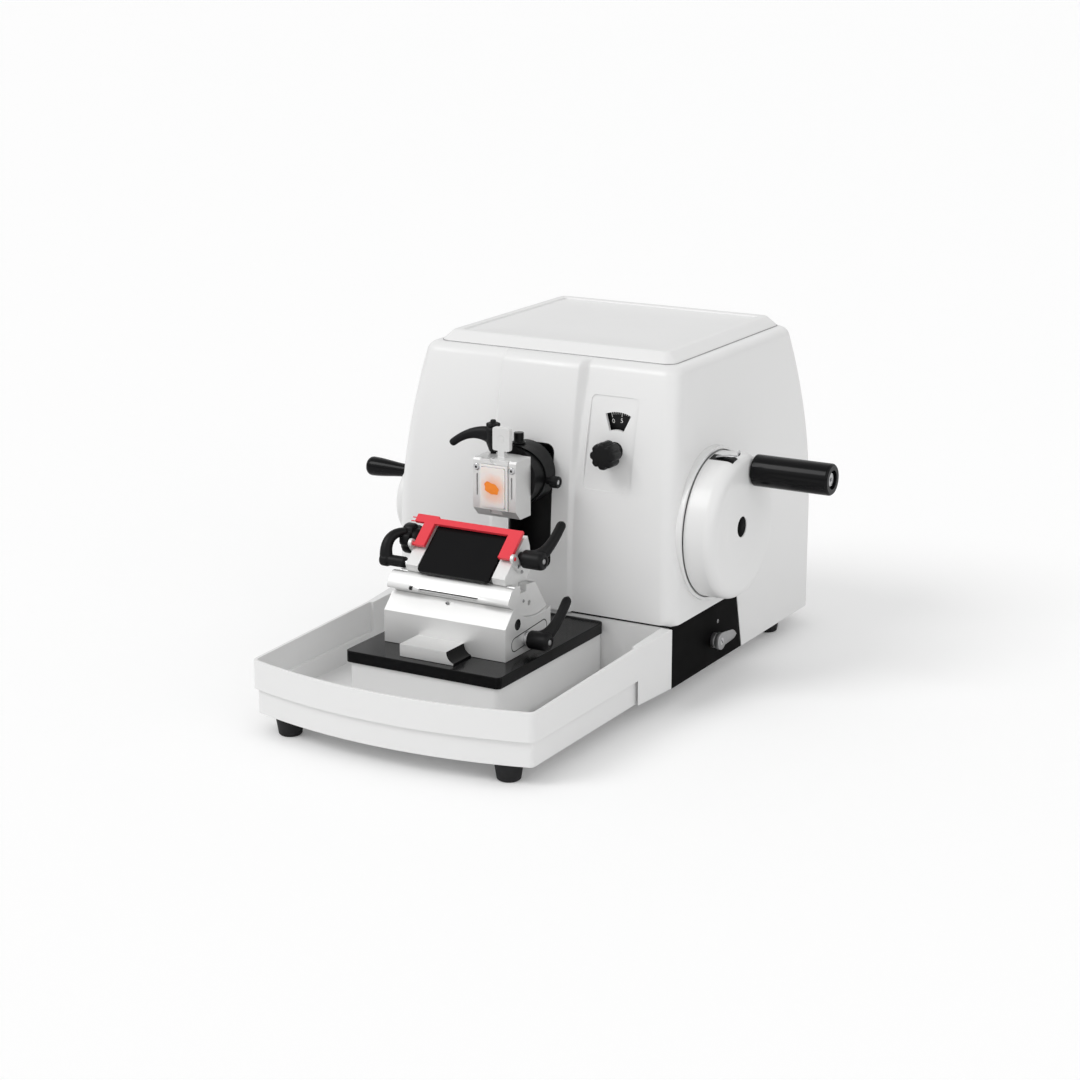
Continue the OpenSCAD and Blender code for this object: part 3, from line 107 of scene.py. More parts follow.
class MicrotomeHousingSizes(bpy.types.PropertyGroup):
    """Sizes of the housing cover and the lid, in millimetres"""

    width: number("Width", "Width at the foot", 292.0, min=280.0, max=310.0)
    top: number("Top", "Height of the top above the bench", 301.6)
    lean_from: number("Lean from", "Height at which the walls start to lean", 118.6)
    side_lean: number("Side lean", "Inward lean of a side wall at the top", 14.1)
    front_lean: number("Front lean", "Inward lean of the front at the top", 31.8)
    corner: number("Corner radius", "Plan radius of the upright corners", 15.0)
    top_edge: number("Top edge radius", "Radius of the top edge", 8.0)
    wall: number("Wall", "Wall thickness", 4.0)
    band_crest: number("Band crest", "Half width of the centre band at its crest", 38.5)
    band_foot: number("Band foot", "Half width of the centre band at its foot", 45.0)
    band_low: number("Band at bottom", "How far the band stands out below", 2.0)
    band_high: number("Band at top", "How far the band stands out above", 11.0)


class MicrotomeColours(bpy.types.PropertyGroup):
    """Colours of the main finishes, and the rounding of edges"""

    paint: colour("White paint", "Housing and covers", (0.80, 0.80, 0.797))
    guard: colour("Guard red", "Moulded blade guard", (0.80, 0.040, 0.060))
    black: colour("Black plastic", "Levers, knobs and plates", (0.006, 0.006, 0.0065))
    metal: colour("Aluminium", "Milled blade holder and clamp", (0.74, 0.74, 0.735))
    tissue: colour("Tissue", "Stained tissue in the wax", (1.0, 0.27, 0.015))
    edge: number("Edge rounding", "Rounding of machined edges, in metres", 0.00035,
                 min=0.0, max=0.002, subtype="DISTANCE", unit="LENGTH")


# ---- mesh helpers: a form is a pair of machine-millimetre points and faces ----
def to_frame(points):
    """Machine millimetres to frame metres: subtract the origin, then scale by a thousandth."""
    return (np.asarray(points, float) - ORIGIN) * MM


def node_box(node):
    """A frame node's low and high corners in machine millimetres."""
    return [np.array(corner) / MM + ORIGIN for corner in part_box(node)]


def around(steps):
    """Angles spaced evenly over one turn."""
    return np.linspace(0, 2 * np.pi, steps, endpoint=False)


def grid_faces(rows, cols):
    """Quads of a rows x cols grid of points, whose last column joins its first: each joins a
    point, its neighbour in the row and the two above them."""
    r, c = np.meshgrid(np.arange(rows - 1), np.arange(cols), indexing="ij")
    n = (c + 1) % cols
    quads = np.stack([r * cols + c, r * cols + n, (r + 1) * cols + n, (r + 1) * cols + c], -1)
    return quads.reshape(-1, 4).tolist()


def shade(mesh, sharp):
    """Smooth faces, with edges sharper than the angle kept crisp."""
    bm = bmesh.new()
    bm.from_mesh(mesh)
    for f in bm.faces:
        f.smooth = True
    for e in bm.edges:
        e.smooth = e.calc_face_angle(0.0) < math.radians(sharp)
    bm.to_mesh(mesh)
    bm.free()


def merge_doubles(mesh, outward):
    """Merges points that coincide, and turns faces outwards where asked."""
    bm = bmesh.new()
    bm.from_mesh(mesh)
    bmesh.ops.remove_doubles(bm, verts=bm.verts, dist=1e-7)
    if outward:
        bmesh.ops.recalc_face_normals(bm, faces=bm.faces)
    bm.to_mesh(mesh)
    bm.free()


def linked(name, data):
    """A new object in the scene that holds a mesh or a curve."""
    obj = bpy.data.objects.new(name, data)
    bpy.context.scene.collection.objects.link(obj)
    return obj


def solid(name, form):
    """A bare object of a form."""
    points, faces = form
    mesh = bpy.data.meshes.new(name)
    mesh.from_pydata(to_frame(points).tolist(), [], faces)
    merge_doubles(mesh, True)
    return linked(name, mesh)


def dress(piece, slot):
    """Gives a piece one finish."""
    piece.data.materials.clear()
    piece.data.materials.append(bpy.data.materials[slot])


def join_body(piece, node, slot, look=None, stands=False):
    """Finishes a piece that rides with a frame node's body. look is its finish where that is
    not the slot's own, and stands says that it stands for the node."""
    dress(piece, look or slot)
    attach(piece, BODY_OF[node])
    if stands:
        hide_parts(node)
    return piece


def new_piece(name, form, node, slot="black_plastic", sharp=35.0, look=None, stands=False):
    """A shaded and finished piece of a form, which rides with a frame node's body."""
    piece = solid(name, form)
    shade(piece.data, sharp)
    return join_body(piece, node, slot, look, stands)


def loft(rings):
    """Skins a stack of rings, an array (rings, points, 3), and closes both ends flat."""
    m, n, _ = rings.shape
    faces = grid_faces(m, n)
    faces.append(list(range(n - 1, -1, -1)))
    faces.append(list(range((m - 1) * n, m * n)))
    return rings.reshape(-1, 3), faces


def stood(flat, along, axis):
    """Points whose two flat coordinates fill the other two axes, in x, y, z order, and whose
    third is along."""
    k = "xyz".index(axis)
    points = np.zeros(flat.shape[:-1] + (3,))
    points[..., [i for i in range(3) if i != k]] = flat
    points[..., k] = along
    return points


def prism(ring, start, end, axis):
    """A closed prism of a flat ring from start to end along an axis, for cutting or for plates."""
    ring = np.asarray(ring, float)
    return loft(np.stack([stood(ring, start, axis), stood(ring, end, axis)]))


def turned(profile, axis, centre, steps):
    """A surface of revolution: profile rows (radius, along) swept round an axis through centre,
    point = centre + along * axis + radius * (cos t, sin t) in the plane across the axis."""
    profile = np.asarray(profile, float)
    t = around(steps)
    ring = np.stack([np.zeros_like(t), np.cos(t), np.sin(t)], -1)
    order = {"x": [0, 1, 2], "y": [2, 0, 1], "z": [1, 2, 0]}[axis]
    along = np.zeros(3)
    along["xyz".index(axis)] = 1
    points = (np.asarray(centre, float) + profile[:, None, 1:2] * along
              + profile[:, None, 0:1] * ring[:, order][None])
    return points.reshape(-1, 3), grid_faces(len(profile), steps)


def peg(radius, start, end, axis, centre, steps=32):
    """A plain round bar from start to end along an axis through centre."""
    return turned([(0, start), (radius, start), (radius, end), (0, end)], axis, centre, steps)


def lobed(profile, lobes, depth, axis, centre, phase=0.0, steps=120):
    """A lobed knob: profile rows (radius, along, share) swept round an axis through centre. At an
    angle t the radius is radius * (1 - depth * share * (0.5 + 0.5 cos(lobes t + phase))^3)."""
    profile = np.asarray(profile, float)
    t = around(steps)
    wave = (0.5 + 0.5 * np.cos(lobes * t + phase)) ** 3
    r = profile[:, :1] * (1 - depth * profile[:, 2:3] * wave[None])
    rings = np.stack([r * np.cos(t), r * np.sin(t), np.broadcast_to(profile[:, 1:2], r.shape)], -1)
    order = {"x": [2, 0, 1], "y": [0, 2, 1], "z": [0, 1, 2]}[axis]
    return loft(rings[..., order] + np.asarray(centre, float))


def swept(path, wide, deep, side, steps):
    """A bar carried along a path of points: each section is the ellipse
    centre + wide cos t * side + deep sin t * (tangent x side), and both ends are closed."""
    path, side = np.asarray(path, float), np.asarray(side, float)
    wide, deep = (np.broadcast_to(size, len(path))[:, None, None] for size in (wide, deep))
    tangent = np.gradient(path, axis=0)
    tangent /= np.linalg.norm(tangent, axis=1)[:, None]
    side = side - (tangent @ side)[:, None] * tangent
    side /= np.linalg.norm(side, axis=1)[:, None]
    up = np.cross(tangent, side)
    t = around(steps)[None, :, None]
    return loft(path[:, None] + wide * np.cos(t) * side[:, None] + deep * np.sin(t) * up[:, None])


def rounded_tip(size, reach):
    """Scales the last part of a bar down to a round end: size * sqrt(1 - k^2), where k runs
    from 0 to 1 over the last reach of the path."""
    k = np.clip((np.linspace(0, 1, len(size)) - (1 - reach)) / reach, 0, 0.985)
    return size * np.sqrt(1 - k * k)


def handle(corners, wide, deep, side, tip, sides=32, steps=40):
    """A lever's handle from corner a towards b and c to d along the cubic curve
    (1-t)^3 a + 3t(1-t)^2 b + 3t^2(1-t) c + t^3 d, with a round tip. Its half sizes are
    end + more (1-t)^power, given as (end, more, power)."""
    t = np.linspace(0, 1, steps)
    halves = [rounded_tip(end + more * (1 - t) ** power, tip) for end, more, power in (wide, deep)]
    a, b, c, d = (np.asarray(p, float) for p in corners)
    t = t[:, None]
    path = (1 - t) ** 3 * a + 3 * t * (1 - t) ** 2 * b + 3 * t * t * (1 - t) * c + t ** 3 * d
    return swept(path, *halves, side, sides)


def bead(ring, wide, high, level, axis, steps=8):
    """A thin bead carried round a flat ring: each section is the ellipse wide cos t across the
    ring and level + high sin t along the axis."""
    t = around(steps)
    along = np.roll(ring, -1, 0) - np.roll(ring, 1, 0)
    across = np.stack([along[:, 1], -along[:, 0]], -1)
    across /= np.linalg.norm(across, axis=1)[:, None]
    flat = ring[:, None] + across[:, None] * (wide * np.cos(t))[None, :, None]
    rings = stood(flat, level + high * np.sin(t), axis)
    rings = np.concatenate([rings, rings[:1]])
    return rings.reshape(-1, 3), grid_faces(len(rings), steps)


def soften(outline, radius, steps=5):
    """Rounds every corner of an open outline by a quadratic curve from radius before to
    radius after it: (1-t)^2 a + 2t(1-t) corner + t^2 b."""
    outline = np.asarray(outline, float)
    t = np.linspace(0, 1, steps)[:, None]
    parts = [outline[:1]]
    for a, b, c in zip(outline[:-2], outline[1:-1], outline[2:]):
        p = b + (a - b) * min(radius / np.linalg.norm(a - b), 0.5)
        q = b + (c - b) * min(radius / np.linalg.norm(c - b), 0.5)
        parts.append((1 - t) ** 2 * p + 2 * t * (1 - t) * b + t ** 2 * q)
    parts.append(outline[-1:])
    return np.concatenate(parts)


def rounded_ring(half_x, half_y, radius, steps=10):
    """Rounded rectangle as an (n, 2) ring: four quarter arcs about the corner centres."""
    t = np.radians(np.arange(4)[:, None] * 90 + np.linspace(0, 90, steps)[None])
    cx = np.array([1, -1, -1, 1])[:, None] * (half_x - radius)
    cy = np.array([1, 1, -1, -1])[:, None] * (half_y - radius)
    return np.stack([cx + radius * np.cos(t), cy + radius * np.sin(t)], -1).reshape(-1, 2)


def disc_ring(radius, centre, steps):
    """A circle as an (n, 2) ring."""
    t = around(steps)
    return np.stack([centre[0] + radius * np.cos(t), centre[1] + radius * np.sin(t)], -1)


def cut(piece, cutters):
    """Takes closed forms away from a piece, and gives it the mesh that is left."""
    helpers = [solid(f"cutter_{i}", form) for i, form in enumerate(cutters)]
    for helper in helpers:
        mod = piece.modifiers.new(helper.name, "BOOLEAN")
        mod.object, mod.solver, mod.operation = helper, "MANIFOLD", "DIFFERENCE"
    bpy.context.view_layer.update()
    left = piece.evaluated_get(bpy.context.evaluated_depsgraph_get())
    mesh = bpy.data.meshes.new_from_object(left)
    piece.modifiers.clear()
    piece.data = mesh
    for helper in helpers:
        bpy.data.objects.remove(helper)


def round_edges(piece, width, angle, segments):
    """Rounds a piece's crisp edges by a small bevel and keeps its flat faces flat."""
    mod = piece.modifiers.new("edges", "BEVEL")
    mod.width, mod.segments, mod.limit_method = width, segments, "ANGLE"
    mod.angle_limit = math.radians(angle)
    mod.harden_normals = True


def carried_over(node, share, sharp=35.0):
    """A merged copy of a frame node, with its edges rounded by a share of the chosen rounding;
    it stands for the node."""
    mesh = NODES[node].data.copy()
    mesh.name = node + "_finished"
    bm = bmesh.new()
    bm.from_mesh(mesh)
    bmesh.ops.remove_doubles(bm, verts=bm.verts, dist=2e-6)
    bmesh.ops.dissolve_limit(bm, angle_limit=math.radians(0.3), verts=bm.verts,
                             edges=bm.edges, delimit={"MATERIAL"})
    bm.to_mesh(mesh)
    bm.free()
    if "custom_normal" in mesh.attributes:
        mesh.attributes.remove(mesh.attributes["custom_normal"])
    shade(mesh, sharp)
    piece = linked(node + "_finished", mesh)
    round_edges(piece, bpy.context.scene.microtome_colours.edge * share, sharp, 2)
    return join_body(piece, node, SLOT_OF[node], stands=True)


# ---- finishes ----
def add(tree, kind, inputs=None, **settings):
    """Adds a shader node; a value that is a socket is linked, any other is set."""
    n = tree.nodes.new(kind)
    for key, value in settings.items():
        setattr(n, key, value)
    for key, value in (inputs or {}).items():
        if isinstance(value, bpy.types.NodeSocket):
            tree.links.new(value, n.inputs[key])
        else:
            n.inputs[key].default_value = value
    return n


def reckon(tree, operation, *values):
    """The result of a math node on sockets and numbers."""
    return add(tree, "ShaderNodeMath", dict(enumerate(values)), operation=operation).outputs[0]


def effect(name, inputs, outputs):
    """An empty shader group with sockets, given by name and kind."""
    tree = bpy.data.node_groups.new(name, "ShaderNodeTree")
    for way, sockets in (("INPUT", inputs), ("OUTPUT", outputs)):
        for key, kind in sockets.items():
            tree.interface.new_socket(name=key, in_out=way, socket_type="NodeSocket" + kind)
    return tree, tree.nodes.new("NodeGroupInput").outputs, tree.nodes.new("NodeGroupOutput").inputs


def build_surface_grain():
    """Fine relief and slowly wandering roughness; Stretch draws the grain out along an axis."""
    tree, given, out = effect(
        "Surface Grain",
        {"Scale": "Float", "Stretch": "Vector", "Roughness": "Float", "Spread": "Float"},
        {"Roughness": "Float", "Height": "Float"})
    place = add(tree, "ShaderNodeMapping", {
        "Vector": add(tree, "ShaderNodeTexCoord").outputs["Object"],
        "Scale": given["Stretch"]}).outputs[0]
    fine = add(tree, "ShaderNodeTexNoise",
               {"Vector": place, "Scale": given["Scale"], "Detail": 4.0, "Roughness": 0.6})
    broad = add(tree, "ShaderNodeTexNoise", {
        "Vector": place, "Detail": 3.0, "Scale": reckon(tree, "MULTIPLY", given["Scale"], 0.05)})
    low, high = (reckon(tree, way, given["Roughness"], given["Spread"])
                 for way in ("SUBTRACT", "ADD"))
    wander = add(tree, "ShaderNodeMapRange",
                 {0: broad.outputs["Fac"], 1: 0.3, 2: 0.7, 3: low, 4: high})
    tree.links.new(wander.outputs[0], out["Roughness"])
    tree.links.new(fine.outputs["Fac"], out["Height"])


def build_colour_drift():
    """A colour that wanders slightly darker in soft patches, by Amount."""
    tree, given, out = effect(
        "Colour Drift", {"Colour": "Color", "Amount": "Float", "Scale": "Float"},
        {"Colour": "Color"})
    patches = add(tree, "ShaderNodeTexNoise", {
        "Vector": add(tree, "ShaderNodeTexCoord").outputs["Object"],
        "Scale": given["Scale"], "Detail": 5.0}).outputs["Fac"]
    darker = reckon(tree, "SUBTRACT", 1.0, reckon(tree, "MULTIPLY", patches, given["Amount"]))
    mixed = add(tree, "ShaderNodeVectorMath", {0: given["Colour"], "Scale": darker},
                operation="SCALE")
    tree.links.new(mixed.outputs[0], out["Colour"])


def finish(name, colour, roughness, spread=0.05, grain=900, stretch=(1, 1, 1), relief=20,
           metallic=0.0, drift=0.04, drift_scale=14.0, coat=0.0, shine=0.5, sheer=0.0):
    """One material: drifting colour, wandering roughness and fine relief on a Principled shader.
    relief is in microns, shine is its specular level, and sheer lets light into wax and thin
    plastic."""
    mat = bpy.data.materials.get(name) or bpy.data.materials.new(name)
    mat.use_nodes = True
    tree = mat.node_tree
    tree.nodes.clear()
    grained = add(tree, "ShaderNodeGroup", {
        "Scale": grain, "Stretch": stretch, "Roughness": roughness, "Spread": spread},
        node_tree=bpy.data.node_groups["Surface Grain"])
    drifted = add(tree, "ShaderNodeGroup", {
        "Colour": (*colour, 1), "Amount": drift, "Scale": drift_scale},
        node_tree=bpy.data.node_groups["Colour Drift"])
    bump = add(tree, "ShaderNodeBump", {"Height": grained.outputs["Height"],
                                        "Strength": 0.6, "Distance": relief * MICRON})
    shader = add(tree, "ShaderNodeBsdfPrincipled", {
        "Base Color": drifted.outputs["Colour"], "Roughness": grained.outputs["Roughness"],
        "Metallic": metallic, "Normal": bump.outputs[0], "Coat Weight": coat,
        "Subsurface Weight": sheer, "Subsurface Radius": (1.0, 0.6, 0.4),
        "Subsurface Scale": 0.004, "Specular IOR Level": shine})
    add(tree, "ShaderNodeOutputMaterial", {0: shader.outputs[0]})


def stain(mat, colour, middle=(0.6, -64, 197.5), full=0.008, end=0.019, share=0.55):
    """Stains the wax round the tissue: the stain's share falls off from full to end, in metres
    from the tissue's middle, and a slow noise frays it."""
    tree = mat.node_tree
    shader = next(n for n in tree.nodes if n.type == "BSDF_PRINCIPLED")
    tone = shader.inputs["Base Color"].links[0].from_socket
    place = add(tree, "ShaderNodeTexCoord").outputs["Object"]
    fray = add(tree, "ShaderNodeTexNoise", {"Vector": place, "Scale": 110.0, "Detail": 3.0})
    away = add(tree, "ShaderNodeVectorMath", {0: place, 1: tuple(to_frame(middle))},
               operation="DISTANCE")
    ragged = reckon(tree, "MULTIPLY_ADD", fray.outputs["Fac"], 0.008, away.outputs["Value"])
    part = add(tree, "ShaderNodeMapRange", {0: ragged, 1: full, 2: end, 3: share, 4: 0.0})
    mix = add(tree, "ShaderNodeMix", {0: part.outputs[0], 6: tone, 7: (*colour, 1)},
              data_type="RGBA")
    tree.links.new(mix.outputs[2], shader.inputs["Base Color"])


def mix_finishes(colours):
    """Every finish, and each frame node dressed in its own."""
    paint, black, metal = tuple(colours.paint), tuple(colours.black), tuple(colours.metal)
    build_surface_grain()
    build_colour_drift()
    finish("white_paint", paint, 0.36, 0.04, 700, relief=12, drift=0.012, coat=0.1)
    finish("tray_white", paint, 0.42, relief=10, drift=0.015)
    finish("black_plastic", black, 0.42, 0.06, 1400, relief=20, drift=0.3, shine=0.18)
    finish("gloss_black", black, 0.17, 0.03, 500, relief=6, drift=0.3, shine=0.13)
    finish("black_paint", black, 0.20, 0.04, 800, relief=8, drift=0.3, shine=0.10)
    finish("deep_black", (0.003, 0.003, 0.003), 0.5, relief=10, drift=0.2, shine=0.02)
    finish("satin_aluminium", metal, 0.44, 0.05, 220, (1, 10, 10), relief=4, metallic=0.55,
           drift_scale=30)
    finish("steel", (0.60, 0.60, 0.61), 0.26, 0.06, 300, (4, 4, 1), relief=5, metallic=1.0,
           drift=0.08, drift_scale=30)
    finish("grey_metal", (0.40, 0.40, 0.405), 0.42, 0.05, 700, relief=10, metallic=1.0,
           drift=0.08)
    finish("brass", (0.72, 0.50, 0.20), 0.28, 0.06, 300, (1, 4, 4), relief=10, metallic=1.0,
           drift=0.1, drift_scale=30)
    finish("cast_iron", (0.16, 0.17, 0.18), 0.55, 0.10, 450, relief=60, metallic=0.6, drift=0.2)
    finish("rubber", (0.012, 0.012, 0.013), 0.62, 0.08, relief=40, drift=0.25, shine=0.3)
    finish("dial_black", (0.010, 0.010, 0.011), 0.45, drift=0.1, shine=0.2)
    finish("cassette_plastic", (0.83, 0.80, 0.78), 0.42, drift=0.05, sheer=0.35)
    finish("wax", (0.86, 0.80, 0.77), 0.40, 0.08, 500, relief=40, drift=0.06, drift_scale=90,
           sheer=0.6)
    stain(bpy.data.materials["wax"], tuple(colours.tissue))
    finish("blade_steel", (0.78, 0.79, 0.80), 0.16, 0.03, 300, (1, 12, 12), relief=4,
           metallic=1.0, drift=0.03, drift_scale=40)
    finish("red_plastic", tuple(colours.guard), 0.38, 0.05, 1200, relief=12, drift=0.06,
           shine=0.4)
    finish("print_white", (0.86, 0.86, 0.84), 0.5, drift=0.06)
    finish("tissue", tuple(colours.tissue), 0.45, 0.1, 700, relief=80, drift=0.16,
           drift_scale=260)
    for node, obj in NODES.items():
        dress(obj, SLOT_OF[node])


# ---- housing ----
WHEEL_BORE, COARSE_BORE, KNOB_BORE = 70.65, 30.05, 8.4
SLOT_HALF_WIDTH, SLOT_HALF_HEIGHT, SLOT_CORNER, SLOT_MIDDLE = 22.3, 57.3, 8.3, 169.0
WINDOW_OUTER, WINDOW_INNER, WINDOW_HALF_ANGLE = 34.2, 18.6, 22
PANEL_HALF_WIDTH, PANEL_HALF_HEIGHT, PANEL_CORNER, PANEL_DEPTH = 24, 41.5, 5, 0.8
PANEL_MIDDLE = (75.5, 231)
HOLLOW_FOOT, HOLLOW_TOP, HOLLOW_HALF_WIDTH = 102, 290, 30
BASE_STEP = 4.5
LID_RISE, LID_TRAY = 9.7, 2.0


def lean(z, size):
    """Share of the full lean at a height: the square of how far z is between start and top."""
    return np.clip((z - size.lean_from) / (size.top - size.lean_from), 0, None) ** 2


def front_at(z, size):
    """Distance of the housing's front face behind its foot: front lean times the lean share."""
    return size.front_lean * lean(z, size)


def band_at(z, size):
    """How far the centre band stands out: low + (high - low) times the lean share."""
    return size.band_low + (size.band_high - size.band_low) * lean(z, size)


def housing_rings(z, inset, size, proud, arc=12, band=14, side=14):
    """Horizontal sections of the housing. Each is a rounded rectangle whose half width, front and
    rear shrink by the lean share and by inset; in front the centre band stands out by
    band_at(z) * s(t), where s(t) = t*t*(3 - 2t) rises from band foot to crest."""
    share = lean(z, size)[:, None]
    inset = inset[:, None]
    r = np.maximum(1.0, size.corner - inset)
    sx = size.width / 2 - size.side_lean * share - inset
    fy = size.front_lean * share + inset
    ry = HOUSING_DEPTH - size.front_lean * share - inset
    q = np.radians(np.linspace(0, 90, arc))[None]
    u = np.linspace(0, 1, side)[1:-1][None]
    rise_x = np.concatenate([np.linspace(-size.band_foot, -size.band_crest, band),
                             np.linspace(size.band_crest, size.band_foot, band)])[None]
    t = np.clip((size.band_foot - np.abs(rise_x)) / (size.band_foot - size.band_crest), 0, 1)
    stand = band_at(z, size)[:, None] * t * t * (3 - 2 * t)
    near, far = r - r * np.cos(q), r - r * np.sin(q)
    xs = [near - sx, rise_x * np.ones_like(share), sx - far,
          sx * np.ones_like(u), sx - near,
          sx - r - (2 * (sx - r)) * u, far - sx, -sx * np.ones_like(u)]
    ys = [fy + far, fy - proud * stand, fy + near,
          fy + r + (ry - fy - 2 * r) * u, ry - far,
          ry * np.ones_like(u), ry - near,
          ry - r - (ry - fy - 2 * r) * u]
    return stood(np.stack([np.concatenate(xs, 1), np.concatenate(ys, 1)], -1), z[:, None], "z")


def dial_window(steps=24):
    """The dial's window: a ring sector about the knob's axis, as an (n, 2) ring in x and z."""
    t = np.radians(np.linspace(-WINDOW_HALF_ANGLE, WINDOW_HALF_ANGLE, steps))
    arc = np.stack([np.sin(t), np.cos(t)], -1)
    return np.concatenate([arc * WINDOW_OUTER, arc[::-1] * WINDOW_INNER]) + np.array(KNOB_AXIS)


def knob_panel(size):
    """The cutter for the shallow panel round the knob: a rounded rectangle, shrunk in steps
    to its middle, whose rear follows the leaning front below its surface."""
    ring = rounded_ring(PANEL_HALF_WIDTH, PANEL_HALF_HEIGHT, PANEL_CORNER)
    flat = ring * np.linspace(1, 0.03, 14)[:, None, None] + PANEL_MIDDLE
    back = stood(flat, front_at(flat[..., 1], size) + PANEL_DEPTH, "y")
    front = back[:1] * [1, 0, 1] + [0, -20, 0]
    return loft(np.concatenate([front, back]))


def cover_openings(size):
    """The cutters: the hollow behind the band, the low front, the side panels' notches, the
    head's slot, the bores, the dial's window, and the knob's panel, which only thins the wall."""
    half = size.width / 2
    z = np.linspace(HOLLOW_FOOT, HOLLOW_TOP, 24)
    inner_face = front_at(z, size) - band_at(z, size) + size.wall
    deep = size.front_lean + size.wall + 1
    hollow = np.concatenate([np.stack([inner_face, z], -1),
                             [[deep, HOLLOW_TOP], [deep, HOLLOW_FOOT]]])
    notch = [[-20, -1], [149.9, -1], [145.7, FOOT_HEIGHT], [132.4, BASE_TOP], [-20, BASE_TOP]]
    low_front = [[-200, -20], [200, -20], [200, BASE_STEP], [-200, BASE_STEP]]
    slot = rounded_ring(SLOT_HALF_WIDTH, SLOT_HALF_HEIGHT, SLOT_CORNER, 12) + [0, SLOT_MIDDLE]
    return [
        prism(hollow, -HOLLOW_HALF_WIDTH, HOLLOW_HALF_WIDTH, "x"),
        prism(low_front, -1, BASE_TOP, "z"),
        prism(notch, half - 20, half + 20, "x"),
        prism(notch, -half - 20, -half + 20, "x"),
        prism(slot, -20, 36, "y"),
        prism(disc_ring(WHEEL_BORE, WHEEL_AXIS, 192), half - 30, half + 10, "x"),
        prism(disc_ring(COARSE_BORE, COARSE_AXIS, 128), -half - 10, -half + 20, "x"),
        prism(disc_ring(KNOB_BORE, KNOB_AXIS, 64), 0, 40, "y"),
        prism(dial_window(), 0, 40, "y"),
        knob_panel(size)]


def build_cover(size):
    """Outer sections from the foot to the rounded top edge, closed to inner sections one wall
    inside, then cut for the mechanism."""
    outer_rows, inner_rows = 40, 30
    edge = np.linspace(0, np.pi / 2, 12)[1:]
    shoulder = size.top - size.top_edge
    z_out = np.concatenate([[FOOT_HEIGHT], np.linspace(size.lean_from, shoulder, outer_rows),
                            shoulder + size.top_edge * np.sin(edge)])
    inset = np.concatenate([np.zeros(outer_rows + 1), size.top_edge * (1 - np.cos(edge))])
    z_in = np.concatenate([[FOOT_HEIGHT],
                           np.linspace(size.lean_from, size.top - size.wall, inner_rows)])
    inner = housing_rings(z_in, np.full(inner_rows + 1, size.wall), size, 0.0)[::-1]
    outer = housing_rings(z_out, inset, size, 1.0)
    cover = new_piece("housing_shell", loft(np.concatenate([inner, outer])), "housing_cover",
                      "white_paint")
    cut(cover, cover_openings(size))
    shade(cover.data, 30)
    dress(cover, "white_paint")
    round_edges(cover, 0.0006, 40, 3)
    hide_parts("housing_cover")


def build_lid(size):
    """Rounded-rectangle sections that follow the lid's outline from its foot over the sloping
    edge and rim and down into the shallow tray, and a fine bead in the joint under it."""
    low, high = node_box("top_lid")
    centre, half = ((low + high) / 2)[:2], ((high - low) / 2)[:2]
    top = size.top + LID_RISE
    outline = soften([[0, size.top], [0, size.top + 0.8], [8.9, top], [15.9, top],
                      [16.6, top - LID_TRAY + 0.1], [60, top - LID_TRAY]], 1.1, 7)
    radius = np.clip(10 - outline[:, 0] * 0.55, 2.5, 10)
    rings = np.stack([stood(rounded_ring(*(half - inset), r) + centre, z, "z")
                      for (inset, z), r in zip(outline, radius)])
    new_piece("lid_shell", loft(rings), "top_lid", "white_paint", 50, stands=True)
    joint = bead(rounded_ring(*(half + 0.15), 10) + centre, 0.4, 0.4, size.top + 0.3, "z")
    new_piece("lid_joint", joint, "top_lid", "steel", 80, "grey_metal")


def build_cover_joint(size):
    """A thin straight black bead under the cover's front, painted as the shade in the joint
    between the cover and the base.
    """
    end = np.array([size.width / 2 - 3.0, 0.9, BASE_TOP + 0.15])
    path = np.linspace(end * [-1, 1, 1], end, 40)
    # a black bead painted as the shade in the joint under the cover's front
    new_piece("cover_joint_shade", swept(path, 1.5, 0.93, (0, 1, 0), 16), "housing_cover",
              "black_paint")


# ---- wheels ----
def build_hub_plug():
    """The flat plug in the middle of the handwheel."""
    profile = [(0, 174.25), (9.2, 174.25), (9.4, 174.1), (9.4, 173)]
    new_piece("hub_plug", turned(profile, "x", (0, *WHEEL_AXIS), 64), "handwheel", sharp=40,
              look="deep_black")


def build_lock():
    """The locking blade, a flat strip that runs along the drum and turns up and over at its
    outer end, over a thin black skin on the drum, painted as the shade in the channel under
    the blade: the skin lies at (x, y0 - r sin t, z0 + r cos t) for a narrow run of t."""
    y, z = WHEEL_AXIS
    drum, rim, straight_to, half_width = 66.6, 11.0, 166.8, 5.6
    lean_back = math.radians(12)
    t = lean_back + np.linspace(-half_width, half_width, 14) / drum
    x = np.linspace(150.0, 173.0, 24)[:, None]
    # the drum's rim rounds off beyond its straight part, and the channel follows it
    past = np.clip(x - straight_to, 0, None)
    drop = rim - np.sqrt(np.clip(rim ** 2 - past ** 2, 0, None))
    skins = []
    for lift in (0.18, -0.4):
        r = drum + lift - drop
        skins.append(np.stack(np.broadcast_arrays(x, y - r * np.sin(t), z + r * np.cos(t)), -1))
    channel = np.concatenate([skins[0], skins[1][:, ::-1]], 1)
    # the black skin is painted shade for the channel under the blade
    new_piece("lock_channel_shade", loft(channel), "handwheel", sharp=40)
    out = np.array([0, -math.sin(lean_back), math.cos(lean_back)])
    run = [(155.5, 67.1), (160.0, 68.2), (166.0, 69.4), (171.5, 69.6), (175.6, 70.0),
           (177.4, 71.6), (177.6, 74.0), (176.4, 75.2)]
    path = soften([np.array([along, y, z]) + out * r for along, r in run], 1.4, 7)
    new_piece("lock_blade", swept(path, 2.9, 0.8, (0, -1, 0), 20), "wheel_lock", "steel",
              stands=True)


